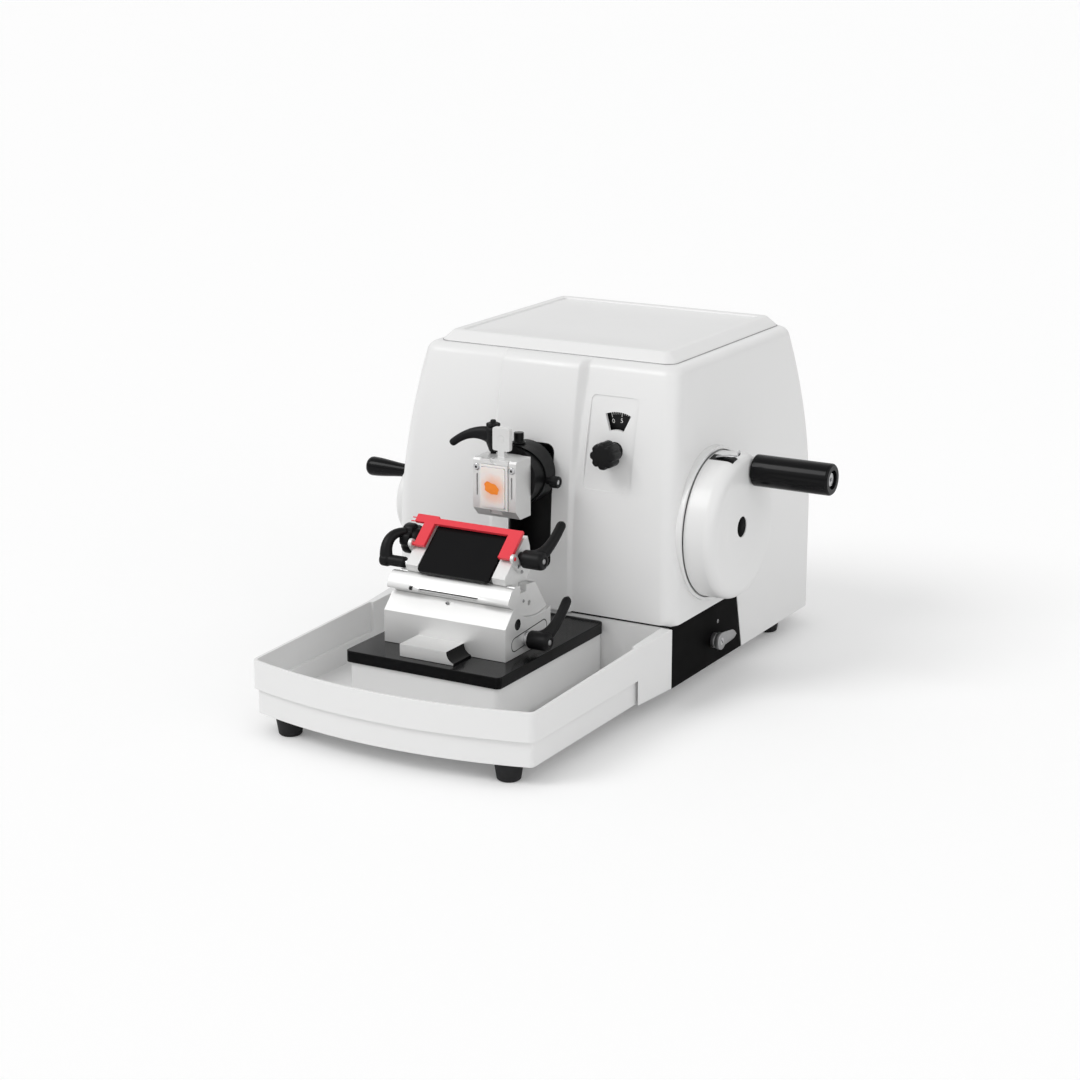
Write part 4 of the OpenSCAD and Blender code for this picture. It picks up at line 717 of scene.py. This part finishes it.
def build_brake():
    """A stepped grey barrel with a slotted screw in its end and a flat finger that tapers
    away from it. The screw's slot is a thin black bar just proud of its face, painted as
    its shade."""
    face = np.array([node_box("brake_lever")[1][0], 83.5, 40.0])
    barrel = soften([(0, -9.2), (7, -9.2), (7, -5.2), (6.3, -4.9), (6.3, -4.5), (8, -4.2),
                     (8, 0), (0, 0)], 0.5, 4)
    new_piece("brake_barrel", turned(barrel, "x", face, 64), "brake_lever", "steel", 40,
              "grey_metal", stands=True)
    root = face + [-2.6, 0, 0]
    half = rounded_tip(np.linspace(7.4, 4.3, 20), 0.14)
    finger = swept(np.linspace(root, root + [0, 31, -1], 20), 2.5, half, (1, 0, 0), 32)
    new_piece("brake_finger", finger, "brake_lever", "steel", 50, "grey_metal")
    screw = turned([(0, 0.02), (3.4, 0.02), (3.4, -1)], "x", face, 40)
    new_piece("brake_screw", screw, "brake_lever", "steel", 40)
    # the screw's slot: a thin black bar painted as the shade in the slot
    slot = rounded_ring(0.5, 2.6, 0.2, 3) @ np.array([[0.8, 0.6], [-0.6, 0.8]]) + face[1:]
    new_piece("brake_screw_slot_shade", prism(slot, face[0] - 0.5, face[0] + 0.06, "x"),
              "brake_lever")


# ---- specimen head ----
def build_jaw_plug():
    """The smooth plug in the clamp jaw's tab."""
    profile = soften([(0, -2.52), (3.38, -2.52), (3.38, 2.52), (0, 2.52)], 0.1, 3)
    new_piece("jaw_plug", turned(profile, "y", (0, -49, 239.5), 48), "clamp_jaw",
              "satin_aluminium")


def build_clamp_lever():
    """A tapering handle that leaves its hub as a broad root and droops to a round tip, on a
    turned hub with a ribbed cap."""
    foot = np.array([-14.0, -41.0, 223.8])
    curve = foot + [[0, 0, 15], [-14, -2, 20], [-27, -4.5, 16.5], [-40.5, -6.4, 4.6]]
    arm = handle(curve, (3.7, 1.6, 2), (3.5, 5.2, 2.2), (0, 1, 0), 0.06)
    new_piece("clamp_lever_handle", arm, "clamp_lever", stands=True)
    hub = soften([(0, -7), (2.4, -7), (2.4, 1), (3.6, 1.6), (6.4, 9.5), (6.6, 21), (5.4, 23.6),
                  (4, 24.6), (0, 24.6)], 1.0)
    new_piece("clamp_lever_hub", turned(hub, "z", foot, 64), "clamp_lever")
    cap = [(0.1, 24, 0), (5.2, 24, 1), (6.3, 24.8, 1), (6.3, 26.6, 1), (5.4, 27.4, 0.8),
           (2.7, 27.7, 0), (2.5, 29.6, 0), (1.9, 30.2, 0), (0.1, 30.2, 0)]
    new_piece("clamp_lever_cap", lobed(cap, 6, 0.18, "z", foot), "clamp_lever", sharp=50)


def build_adjusters():
    """The head's two adjusting knobs on their stems: a plain flanged barrel on top and a finely
    ribbed one with a steel end at the side."""
    foot = (0, -20, 230.3)
    barrel = soften([(0, 0), (6.4, 0), (6.4, 0.8), (4.6, 2), (4.6, 9.6), (0, 9.6)], 0.5)
    new_piece("top_knob", turned(barrel, "z", foot, 64), "top_screw", "gloss_black", 50,
              stands=True)
    new_piece("top_knob_stem", peg(2.5, -11.3, 0.5, "z", foot), "top_screw", "gloss_black")
    foot = (28, -17.5, 198)
    ribbed = [(0.1, 0.3, 0), (3.4, 0.3, 0), (3.4, 3.6, 0), (5.2, 4.4, 0), (5.4, 5, 1),
              (5.4, 11.2, 1), (4.8, 12, 0), (3.2, 12, 0), (3, 11.2, 0), (0.1, 11.2, 0)]
    new_piece("side_knob", lobed(ribbed, 12, 0.09, "x", foot), "side_screw", sharp=50,
              stands=True)
    new_piece("side_knob_stem", peg(2.5, -13, 0.6, "x", foot), "side_screw")
    end = [(0, 11.6), (1.7, 11.6), (2.2, 11.2), (2.2, 10.5)]
    new_piece("side_knob_end", turned(end, "x", foot, 32), "side_screw", "steel", 40)


def build_clamp_screws():
    """Two pan-head screws on the clamp, each with a black twelve-pointed star just proud of its
    face, painted as the shade in its recess: the star's radius is 1.35 (1 - 0.28 cos^2 6t)."""
    head = soften([(0, 0), (2.4, 0), (3.1, 0.6), (3.3, 1.5), (2.4, 1.6), (2.4, 3.3), (0, 3.3)],
                  0.3, 4)
    t = around(48)
    r = 1.35 * (1 - 0.28 * np.cos(6 * t) ** 2)
    star = np.stack([r * np.cos(t), r * np.sin(t)], -1)
    for i, x in enumerate((-17.9, 17.9)):
        centre = (x, -64.5, 215.5)
        new_piece(f"clamp_screw_{i}", turned(head, "y", centre, 48), "clamp_screws", "steel", 40,
                  stands=i == 0)
        # a black star painted as the shade in the screw's recess
        new_piece(f"clamp_screw_recess_shade_{i}", prism(star + [x, 215.5], -64.56, -64.0, "y"),
                  "clamp_screws", sharp=80)


def build_tissue():
    """An uneven low dome over a slanting four-sided outline: its radius is a superellipse of
    power 3 made ragged by 0.05 sin 7t + 0.04 sin(3t + 1), and its height falls off as
    (1 - s^2)^0.7 and is dimpled by 0.15 sin 9x cos 8z."""
    rows, cols, half_width, half_height, rise = 14, 48, 7.4, 5.2, 0.35
    middle_x, middle_z, slant = -1.2, 198.2, 0.22
    face = node_box("specimen_block")[0][1]
    s = np.linspace(0, 1, rows)[:, None]
    t = around(cols)[None]
    r = (np.abs(np.cos(t)) ** 3 + np.abs(np.sin(t)) ** 3) ** (-1 / 3)
    r = r * (1 + 0.05 * np.sin(7 * t) + 0.04 * np.sin(3 * t + 1))
    x = middle_x + half_width * s * r * np.cos(t)
    z = middle_z + half_height * s * r * np.sin(t) - slant * (x - middle_x)
    dome = rise * (1 - s * s) ** 0.7 * (1 + 0.15 * np.sin(9 * x) * np.cos(8 * z))
    points = np.stack([x, face + 0.05 - dome, z], -1).reshape(-1, 3)
    faces = grid_faces(rows, cols)
    faces.append(list(range((rows - 1) * cols, rows * cols)))
    new_piece("tissue", (points, faces), "specimen_block", "wax", 70, "tissue")


# ---- blade holder ----
def blacken_foot_end():
    """Paints black the hollowed end of the clamping foot, the faces beyond its right corner that
    look outwards: a painted reflection of the black stage plate."""
    mesh = bpy.data.objects["holder_base_finished"].data
    mesh.materials.append(bpy.data.materials["black_paint"])
    centre, normal = (np.zeros(len(mesh.polygons) * 3) for _ in range(2))
    mesh.polygons.foreach_get("center", centre)
    mesh.polygons.foreach_get("normal", normal)
    x, y = (centre.reshape(-1, 3) / MM + ORIGIN).T[:2]
    # outward faces of the hollowed end are painted black as a painted reflection of the black
    # stage plate
    dark = (x > 18) & (x < 29) & (y < -149.2) & (normal[::3] > 0.15)
    mesh.polygons.foreach_set("material_index", dark.astype(np.int32))


def build_lever(node, foot, angle, reach, slot, shaft):
    """A clamping lever: a barrel along x from its foot, a handle that leaves it by a broad root
    and bends outwards to a round tip at an angle, an end screw, and a shaft profile."""
    a = math.radians(angle)
    foot, out = np.array(foot), np.array([0, math.cos(a), math.sin(a)])
    curve = [foot + [x, 0, 0] + out * r for x, r in ((9, 1), (17, 7), (20.5, 19), (20, reach))]
    arm = handle(curve, (4.4, 5.2, 3), (4.0, 2.6, 2), (1, 0, 0), 0.07, 36)
    new_piece(node + "_handle", arm, node, stands=True)
    barrel = soften([(0, 0), (7.4, 0), (8.1, 1), (8.1, 17), (7.2, 20), (4.2, 20.6), (4, 19.2),
                     (0, 19.2)], 0.8)
    new_piece(node + "_barrel", turned(barrel, "x", foot, 72), node)
    head = soften([(0, 20.2), (1.8, 20.2), (2.4, 19.8), (2.4, 19)], 0.3, 4)
    new_piece(node + "_screw", turned(head, "x", foot, 40), node, "steel", look="grey_metal")
    new_piece(node + "_shaft", turned(soften(shaft, 0.3, 4), "x", foot, 48), node, slot)


def build_levers():
    """The levers that clamp the holder on the stage and the blade in its carrier."""
    build_lever("base_lever", (65.0, -113.0, 82.4), 46, 46, "steel",
                [(0, -126), (3.5, -126), (3.5, -4), (6.6, -3.4), (6.6, 0.2), (0, 0.2)])
    build_lever("blade_lever", (54.1, -104.0, 151.0), 41, 43, "black_plastic",
                [(0, -72.1), (3.5, -72.1), (3.5, -5), (5.6, -4), (5.6, 1), (0, 1)])


def build_side_lever():
    """The lateral clamp's lever: a stepped barrel at the foot, and a handle that arches out
    and up from it to a round tip."""
    foot = np.array([-54.1, -124.6, 137.4])
    curve = foot + [[-20, 0, 0], [-23, 1, 12], [-22, 7, 25], [-11, 22, 21]]
    arm = handle(curve, (4.6, 1.8, 2), (4.0, 1.6, 2), (1, 0, 0), 0.08)
    new_piece("lateral_lever_handle", arm, "lateral_lever", stands=True)
    barrel = soften([(0, 0), (4.6, 0), (5, -1), (5, -16), (6, -18.2), (6, -23.6), (5.2, -25),
                     (0, -25)], 0.8)
    new_piece("lateral_lever_barrel", turned(barrel[::-1], "x", foot, 64), "lateral_lever")
    new_piece("lateral_lever_shaft", peg(2.5, -1, 11, "x", foot), "lateral_lever", "steel")


def build_side_knob():
    """The lateral knob: a five-lobed grip with a half-round ridge across its face, on a
    smooth disc."""
    foot = np.array([-54.1, -98.0, 152.0])
    profile = [(0.1, -16, 0), (11, -16, 0.9), (13.2, -15.2, 1), (13.9, -13.6, 1),
               (13.9, -7.2, 1), (13.2, -5.6, 1), (9.8, -5, 0), (9.8, -0.8, 0), (9, 0, 0),
               (0.1, 0, 0)]
    new_piece("lateral_grip", lobed(profile, 5, 0.17, "x", foot, 0.6), "lateral_knob",
              sharp=45, stands=True)
    half = np.sqrt(np.clip(1 - np.linspace(-1, 1, 30) ** 6, 0.03, 1))
    path = np.linspace(foot + [-15.2, -6, -10.44], foot + [-15.2, 6, 10.44], 30)
    new_piece("lateral_ridge", swept(path, 3.6 * half, 4.6 * half, (1, 0, 0), 28),
              "lateral_knob")
    new_piece("lateral_stem", peg(3, -1, 20.1, "x", foot), "lateral_knob", "steel")


def build_small_screws():
    """Small socket screws let into the holder and a side panel: low domes, each with a black
    six-sided disc on top, painted as the shade in its socket. Each faces outwards, way
    times its axis."""
    spots = (("bar_screw", "segment", (-3, -139.2, 111.6), "y", -1, 1.5),
             ("cheek_screw_a", "blade_carrier", (53.4, -113, 146), "x", 1, 1.9),
             ("cheek_screw_b", "blade_carrier", (53.4, -106, 139.5), "x", 1, 1.5),
             ("panel_screw", "side_panel_right", (145.3, 94.5, 55), "x", 1, 1.9),
             ("segment_screw", "segment", (58.6, -113, 116), "x", 1, 1.6))
    for name, node, centre, axis, way, r in spots:
        head = soften([(0, 0.45), (r * 0.75, 0.45), (r, 0.1), (r, -0.9)], 0.3, 4) * [1, way]
        new_piece(name, turned(head, axis, centre, 32), node, "steel", 40, "grey_metal")
        # a black disc painted as the shade in the screw's socket
        socket = [(0, way * 0.5), (r * 0.42, way * 0.5), (r * 0.42, 0)]
        new_piece(name + "_socket", turned(socket, axis, centre, 6), node, sharp=30)


def build_dark_lines():
    """The base's plugged bore; a black bead round the lever, turned by four degrees and painted
    as the shade in its milled oval groove; a black bar painted as the shade in the gap under
    the bumper bar; and the stop under it."""
    x, a = 61.5, math.radians(4)
    plug = turned([(0, -0.4), (4.4, -0.4), (4.9, 0.02), (5, -1)], "x", (x, -127.9, 99), 48)
    new_piece("base_plug", plug, "holder_base", sharp=50)
    turn = np.array([[math.cos(a), math.sin(a)], [-math.sin(a), math.cos(a)]])
    oval = rounded_ring(30.5, 6.0, 5.9, 14) @ turn + [-108, 84]
    # a black bead painted as the shade in the milled oval groove
    new_piece("base_oval_shade", bead(oval, 0.42, 0.3, x - 0.2, "x"), "holder_base", sharp=80)
    z = node_box("bumper_bar")[0][2] + 2.9
    gap = np.linspace((-29, -141.2, z), (29, -141.2, z), 30)
    # a black bar painted as the shade in the gap under the bumper bar
    new_piece("bumper_gap_shade", swept(gap, 0.88, 0.55, (0, 1, 0), 14), "bumper_bar")
    stop = gap * [0.045, 1, 1] + [-38, -0.4, -0.4]
    new_piece("bumper_stop", swept(stop, 1.76, 1.76, (0, 1, 0), 20), "bumper_bar")


# ---- thickness setting ----
MARK_STEP = math.radians(3.75)
FIRST_MARK = math.radians(-16.5)
LAST_MARK = 80
DIAL_FACE = 23.92
MARK_INNER, LONG_MARK_INNER, MARK_OUTER = 31.2, 29.2, 33.6
FIGURE_RADIUS, FIGURE_SIZE, FIGURE_RISE = 25.6, 5.8, 0.06


def build_knob(wall):
    """A grip of eight lobes that run out to its rounded front, on a neck that passes through
    the panel."""
    profile = [(0.1, 0, 0), (9.4, 0, 0.6), (10.8, 0.4, 0.85), (11.7, 1.3, 1), (12.2, 2.6, 1),
               (12.4, 4, 1), (12.4, 6, 1), (12.4, 15, 1), (11.8, 16.4, 0.8), (8, 17, 0),
               (7.9, 17.2, 0), (7.9, 26, 0), (0.1, 26, 0)]
    front = (KNOB_AXIS[0], wall - 24, KNOB_AXIS[1])
    new_piece("thickness_grip", lobed(profile, 8, 0.16, "y", front, math.pi),
              "thickness_knob", sharp=45, stands=True)


def build_marks():
    """Thin bars set radially over the dial's whole turn, a long one at every fifth."""
    k = np.arange(LAST_MARK + 1)
    a = FIRST_MARK + k * MARK_STEP
    long = k % 5 == 0
    inner = np.where(long, LONG_MARK_INNER, MARK_INNER)[:, None]
    half = np.where(long, 0.30, 0.20)[:, None]
    radial = np.stack([np.sin(a), np.cos(a)], -1)
    across = np.stack([np.cos(a), -np.sin(a)], -1)
    flat = np.stack([radial * r + across * half * way for r, way in (
        (inner, -1), (inner, 1), (MARK_OUTER, 1), (MARK_OUTER, -1))], 1) + np.array(KNOB_AXIS)
    points = np.concatenate([stood(flat, DIAL_FACE, "y"), stood(flat, DIAL_FACE + 0.2, "y")], 1)
    box = np.array([[0, 1, 2, 3], [7, 6, 5, 4], [0, 4, 5, 1], [1, 5, 6, 2], [2, 6, 7, 3],
                    [3, 7, 4, 0]])
    faces = (k[:, None, None] * 8 + box[None]).reshape(-1, 4).tolist()
    new_piece("dial_marks", (points.reshape(-1, 3), faces), "thickness_dial", "dial_black", 20,
              "print_white")


def build_figure(value):
    """One printed number inside its mark, with its top towards the dial's rim."""
    a = FIRST_MARK + value * MARK_STEP
    curve = bpy.data.curves.new("figure", "FONT")
    curve.body, curve.size, curve.extrude = str(value), FIGURE_SIZE * MM, FIGURE_RISE * MM
    curve.align_x, curve.align_y = "CENTER", "CENTER"
    curve.resolution_u = 3
    text = linked("figure", curve)
    bpy.context.view_layer.update()
    mesh = bpy.data.meshes.new_from_object(text)
    bpy.data.objects.remove(text)
    spot = to_frame([KNOB_AXIS[0] + FIGURE_RADIUS * math.sin(a), DIAL_FACE + 0.01,
                     KNOB_AXIS[1] + FIGURE_RADIUS * math.cos(a)])
    turn = Matrix.Rotation(a, 4, "Y") @ Matrix.Rotation(math.pi / 2, 4, "X")
    mesh.transform(Matrix.Translation(Vector(spot)) @ turn)
    merge_doubles(mesh, False)
    join_body(linked(f"dial_figure_{value:02d}", mesh), "thickness_dial", "dial_black",
              "print_white")


# ---- stage ----
def build_floor():
    """A wide pale floor at bench level."""
    mat = bpy.data.materials.new("pale_floor")
    mat.use_nodes = True
    tree = mat.node_tree
    tree.nodes.clear()
    seen = add(tree, "ShaderNodeLightPath").outputs["Is Camera Ray"]
    shader = add(tree, "ShaderNodeBsdfPrincipled", {
        "Base Color": (0.93, 0.93, 0.93, 1), "Roughness": 0.7, "Specular IOR Level": 0.1,
        "Emission Color": (1, 1, 1, 1), "Emission Strength": reckon(tree, "MULTIPLY", seen, 0.09)})
    add(tree, "ShaderNodeOutputMaterial", {0: shader.outputs[0]})
    w = 60.0
    mesh = bpy.data.meshes.new("floor")
    mesh.from_pydata([(-w, -w, 0), (w, -w, 0), (w, w, 0), (-w, w, 0)], [], [(0, 1, 2, 3)])
    mesh.materials.append(mat)
    linked("floor", mesh)


def build_lamp(name, source, strength, spread):
    """A distant soft lamp that shines from a direction."""
    data = bpy.data.lights.new(name, "SUN")
    data.energy, data.angle = strength, math.radians(spread)
    linked(name, data).rotation_euler = Vector(source).to_track_quat("Z", "Y").to_euler()


def build_world(scene):
    """Even white light; what gloss reflects grows brighter with height and dims again
    overhead, and what the camera sees is white."""
    scene.world = bpy.data.worlds.new("studio")
    scene.world.use_nodes = True
    tree = scene.world.node_tree
    tree.nodes.clear()
    path = add(tree, "ShaderNodeLightPath")
    sky = add(tree, "ShaderNodeSeparateXYZ",
              {0: add(tree, "ShaderNodeTexCoord").outputs["Generated"]})
    ramp = add(tree, "ShaderNodeValToRGB", {0: sky.outputs[2]})
    stops = ((0.0, 0.35), (0.12, 0.45), (0.28, 0.92), (0.6, 1.0), (1.0, 0.45))
    elements = ramp.color_ramp.elements
    for at, level in stops[1:-1]:
        elements.new(at)
    for element, (at, level) in zip(elements, stops):
        element.position, element.color = at, (level, level, level, 1)
    white = (1, 1, 1, 1)
    even, gloss, seen = (
        add(tree, "ShaderNodeBackground", {0: light, 1: level}).outputs[0]
        for light, level in ((white, 0.70), (ramp.outputs[0], 1.0), (white, 1.0)))
    lit = add(tree, "ShaderNodeMixShader", {0: path.outputs["Is Glossy Ray"], 1: even, 2: gloss})
    add(tree, "ShaderNodeOutputWorld", {0: add(tree, "ShaderNodeMixShader", {
        0: path.outputs["Is Camera Ray"], 1: lit.outputs[0], 2: seen}).outputs[0]})


def build_camera(scene):
    """The camera, at the machine's right front and above it, looking a little down."""
    data = bpy.data.cameras.new("camera")
    data.lens, data.sensor_width = 82.0, 36.0
    data.clip_end = 200
    camera = linked("camera", data)
    camera.location = (1.05637, -1.89219, 0.73318)
    camera.rotation_euler = (math.radians(74.508), 0, math.radians(29.754))
    scene.camera = camera
    scene.view_settings.view_transform = "Standard"


# ---- the steps, in order ----
STAND = ("base_casting", "side_panel_right", "side_panel_left", "feet", "pedestal", "stage_plate",
         "waste_tray", "slot_liner", "wheel_collar", "coarse_collar")
WHEEL = ("handwheel", "handle_pin", "handle_grip", "coarse_wheel", "coarse_handle")
HEAD = ("dust_shield", "specimen_arm", "drum", "tilt_cradle", "clamp_block", "clamp_jaw",
        "cassette", "specimen_block")
HOLDER = ("holder_base", "segment", "bumper_bar", "blade_carrier", "pressure_plate",
          "blade_guard")


class MICROTOME_OT_finishes(bpy.types.Operator):
    """Mixes the paints, plastics, metals, wax and rubber"""

    bl_idname = "microtome.finishes"
    bl_label = "Mix Finishes"

    def execute(self, context):
        mix_finishes(context.scene.microtome_colours)
        return {"FINISHED"}


class MICROTOME_OT_housing(bpy.types.Operator):
    """Builds the leaning housing cover with the panel round the knob, its lid, and the black
    bead painted as the shade in the joint under its front
    """

    bl_idname = "microtome.housing"
    bl_label = "Build Housing"

    def execute(self, context):
        for build in (build_cover, build_lid, build_cover_joint):
            build(context.scene.microtome_housing)
        return {"FINISHED"}


class MICROTOME_OT_stand(bpy.types.Operator):
    """Finishes the base, panels, feet, stage, tray and rings"""

    bl_idname = "microtome.stand"
    bl_label = "Finish Stand"

    def execute(self, context):
        for node in STAND:
            piece = carried_over(node, 1.6)
            if node.startswith("side_panel"):
                dress(piece, "deep_black")
        return {"FINISHED"}


class MICROTOME_OT_wheels(bpy.types.Operator):
    """Finishes the handwheel and the coarse wheel, and makes the hub plug, lock and brake lever"""

    bl_idname = "microtome.wheels"
    bl_label = "Finish Wheels"

    def execute(self, context):
        for node in WHEEL:
            carried_over(node, 1.0)
        for build in (build_hub_plug, build_lock, build_brake):
            build()
        return {"FINISHED"}


class MICROTOME_OT_head(bpy.types.Operator):
    """Finishes the orienting head, the clamp and the cassette, and lays the tissue in the wax"""

    bl_idname = "microtome.head"
    bl_label = "Finish Head"

    def execute(self, context):
        for node in HEAD:
            carried_over(node, 0.8)
        for build in (build_jaw_plug, build_clamp_lever, build_adjusters, build_clamp_screws,
                      build_tissue):
            build()
        return {"FINISHED"}


class MICROTOME_OT_holder(bpy.types.Operator):
    """Finishes the blade holder with its guard, knobs and levers"""

    bl_idname = "microtome.holder"
    bl_label = "Finish Blade Holder"

    def execute(self, context):
        for node in HOLDER:
            carried_over(node, 1.0)
        for build in (blacken_foot_end, build_levers, build_side_lever, build_side_knob,
                      build_small_screws, build_dark_lines):
            build()
        return {"FINISHED"}


class MICROTOME_OT_setting(bpy.types.Operator):
    """Finishes the thickness knob and dial and prints the dial's marks"""

    bl_idname = "microtome.setting"
    bl_label = "Finish Thickness Setting"

    def execute(self, context):
        build_knob(front_at(KNOB_AXIS[1], context.scene.microtome_housing))
        carried_over("thickness_dial", 0.5)
        build_marks()
        for value in range(0, LAST_MARK + 1, 5):
            build_figure(value)
        return {"FINISHED"}


class MICROTOME_OT_stage(bpy.types.Operator):
    """Lays the floor, sets the lamps and the world, and aims the camera"""

    bl_idname = "microtome.stage"
    bl_label = "Set Stage"

    def execute(self, context):
        build_floor()
        build_lamp("key", (-0.45, -0.62, 0.78), 0.95, 28)
        build_lamp("fill", (0.75, -0.40, 0.55), 0.30, 50)
        build_world(context.scene)
        build_camera(context.scene)
        return {"FINISHED"}


class MICROTOME_PT_build(bpy.types.Panel):
    """Lists the steps in order"""

    bl_label = "Rotary Microtome"
    bl_idname = "MICROTOME_PT_build"
    bl_space_type = "VIEW_3D"
    bl_region_type = "UI"
    bl_category = "Microtome"

    def draw(self, context):
        column = self.layout.column(align=True)
        for step in STEPS:
            column.operator(step.bl_idname)
        for group in (context.scene.microtome_housing, context.scene.microtome_colours):
            box = self.layout.box()
            for key in group.__annotations__:
                box.prop(group, key)


STEPS = (MICROTOME_OT_finishes, MICROTOME_OT_housing, MICROTOME_OT_stand, MICROTOME_OT_wheels,
         MICROTOME_OT_head, MICROTOME_OT_holder, MICROTOME_OT_setting, MICROTOME_OT_stage)
CLASSES = (MicrotomeHousingSizes, MicrotomeColours, *STEPS, MICROTOME_PT_build)


def register():
    """Registers the classes and the two groups of settings."""
    for cls in CLASSES:
        bpy.utils.register_class(cls)
    bpy.types.Scene.microtome_housing = bpy.props.PointerProperty(type=MicrotomeHousingSizes)
    bpy.types.Scene.microtome_colours = bpy.props.PointerProperty(type=MicrotomeColours)


def unregister():
    """Takes the settings and classes away again."""
    del bpy.types.Scene.microtome_colours
    del bpy.types.Scene.microtome_housing
    for cls in reversed(CLASSES):
        bpy.utils.unregister_class(cls)


def main():
    """Builds everything in order."""
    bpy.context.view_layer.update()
    register()
    for step in STEPS:
        group, name = step.bl_idname.split(".")
        getattr(getattr(bpy.ops, group), name)()


if __name__ == "__main__":
    main()
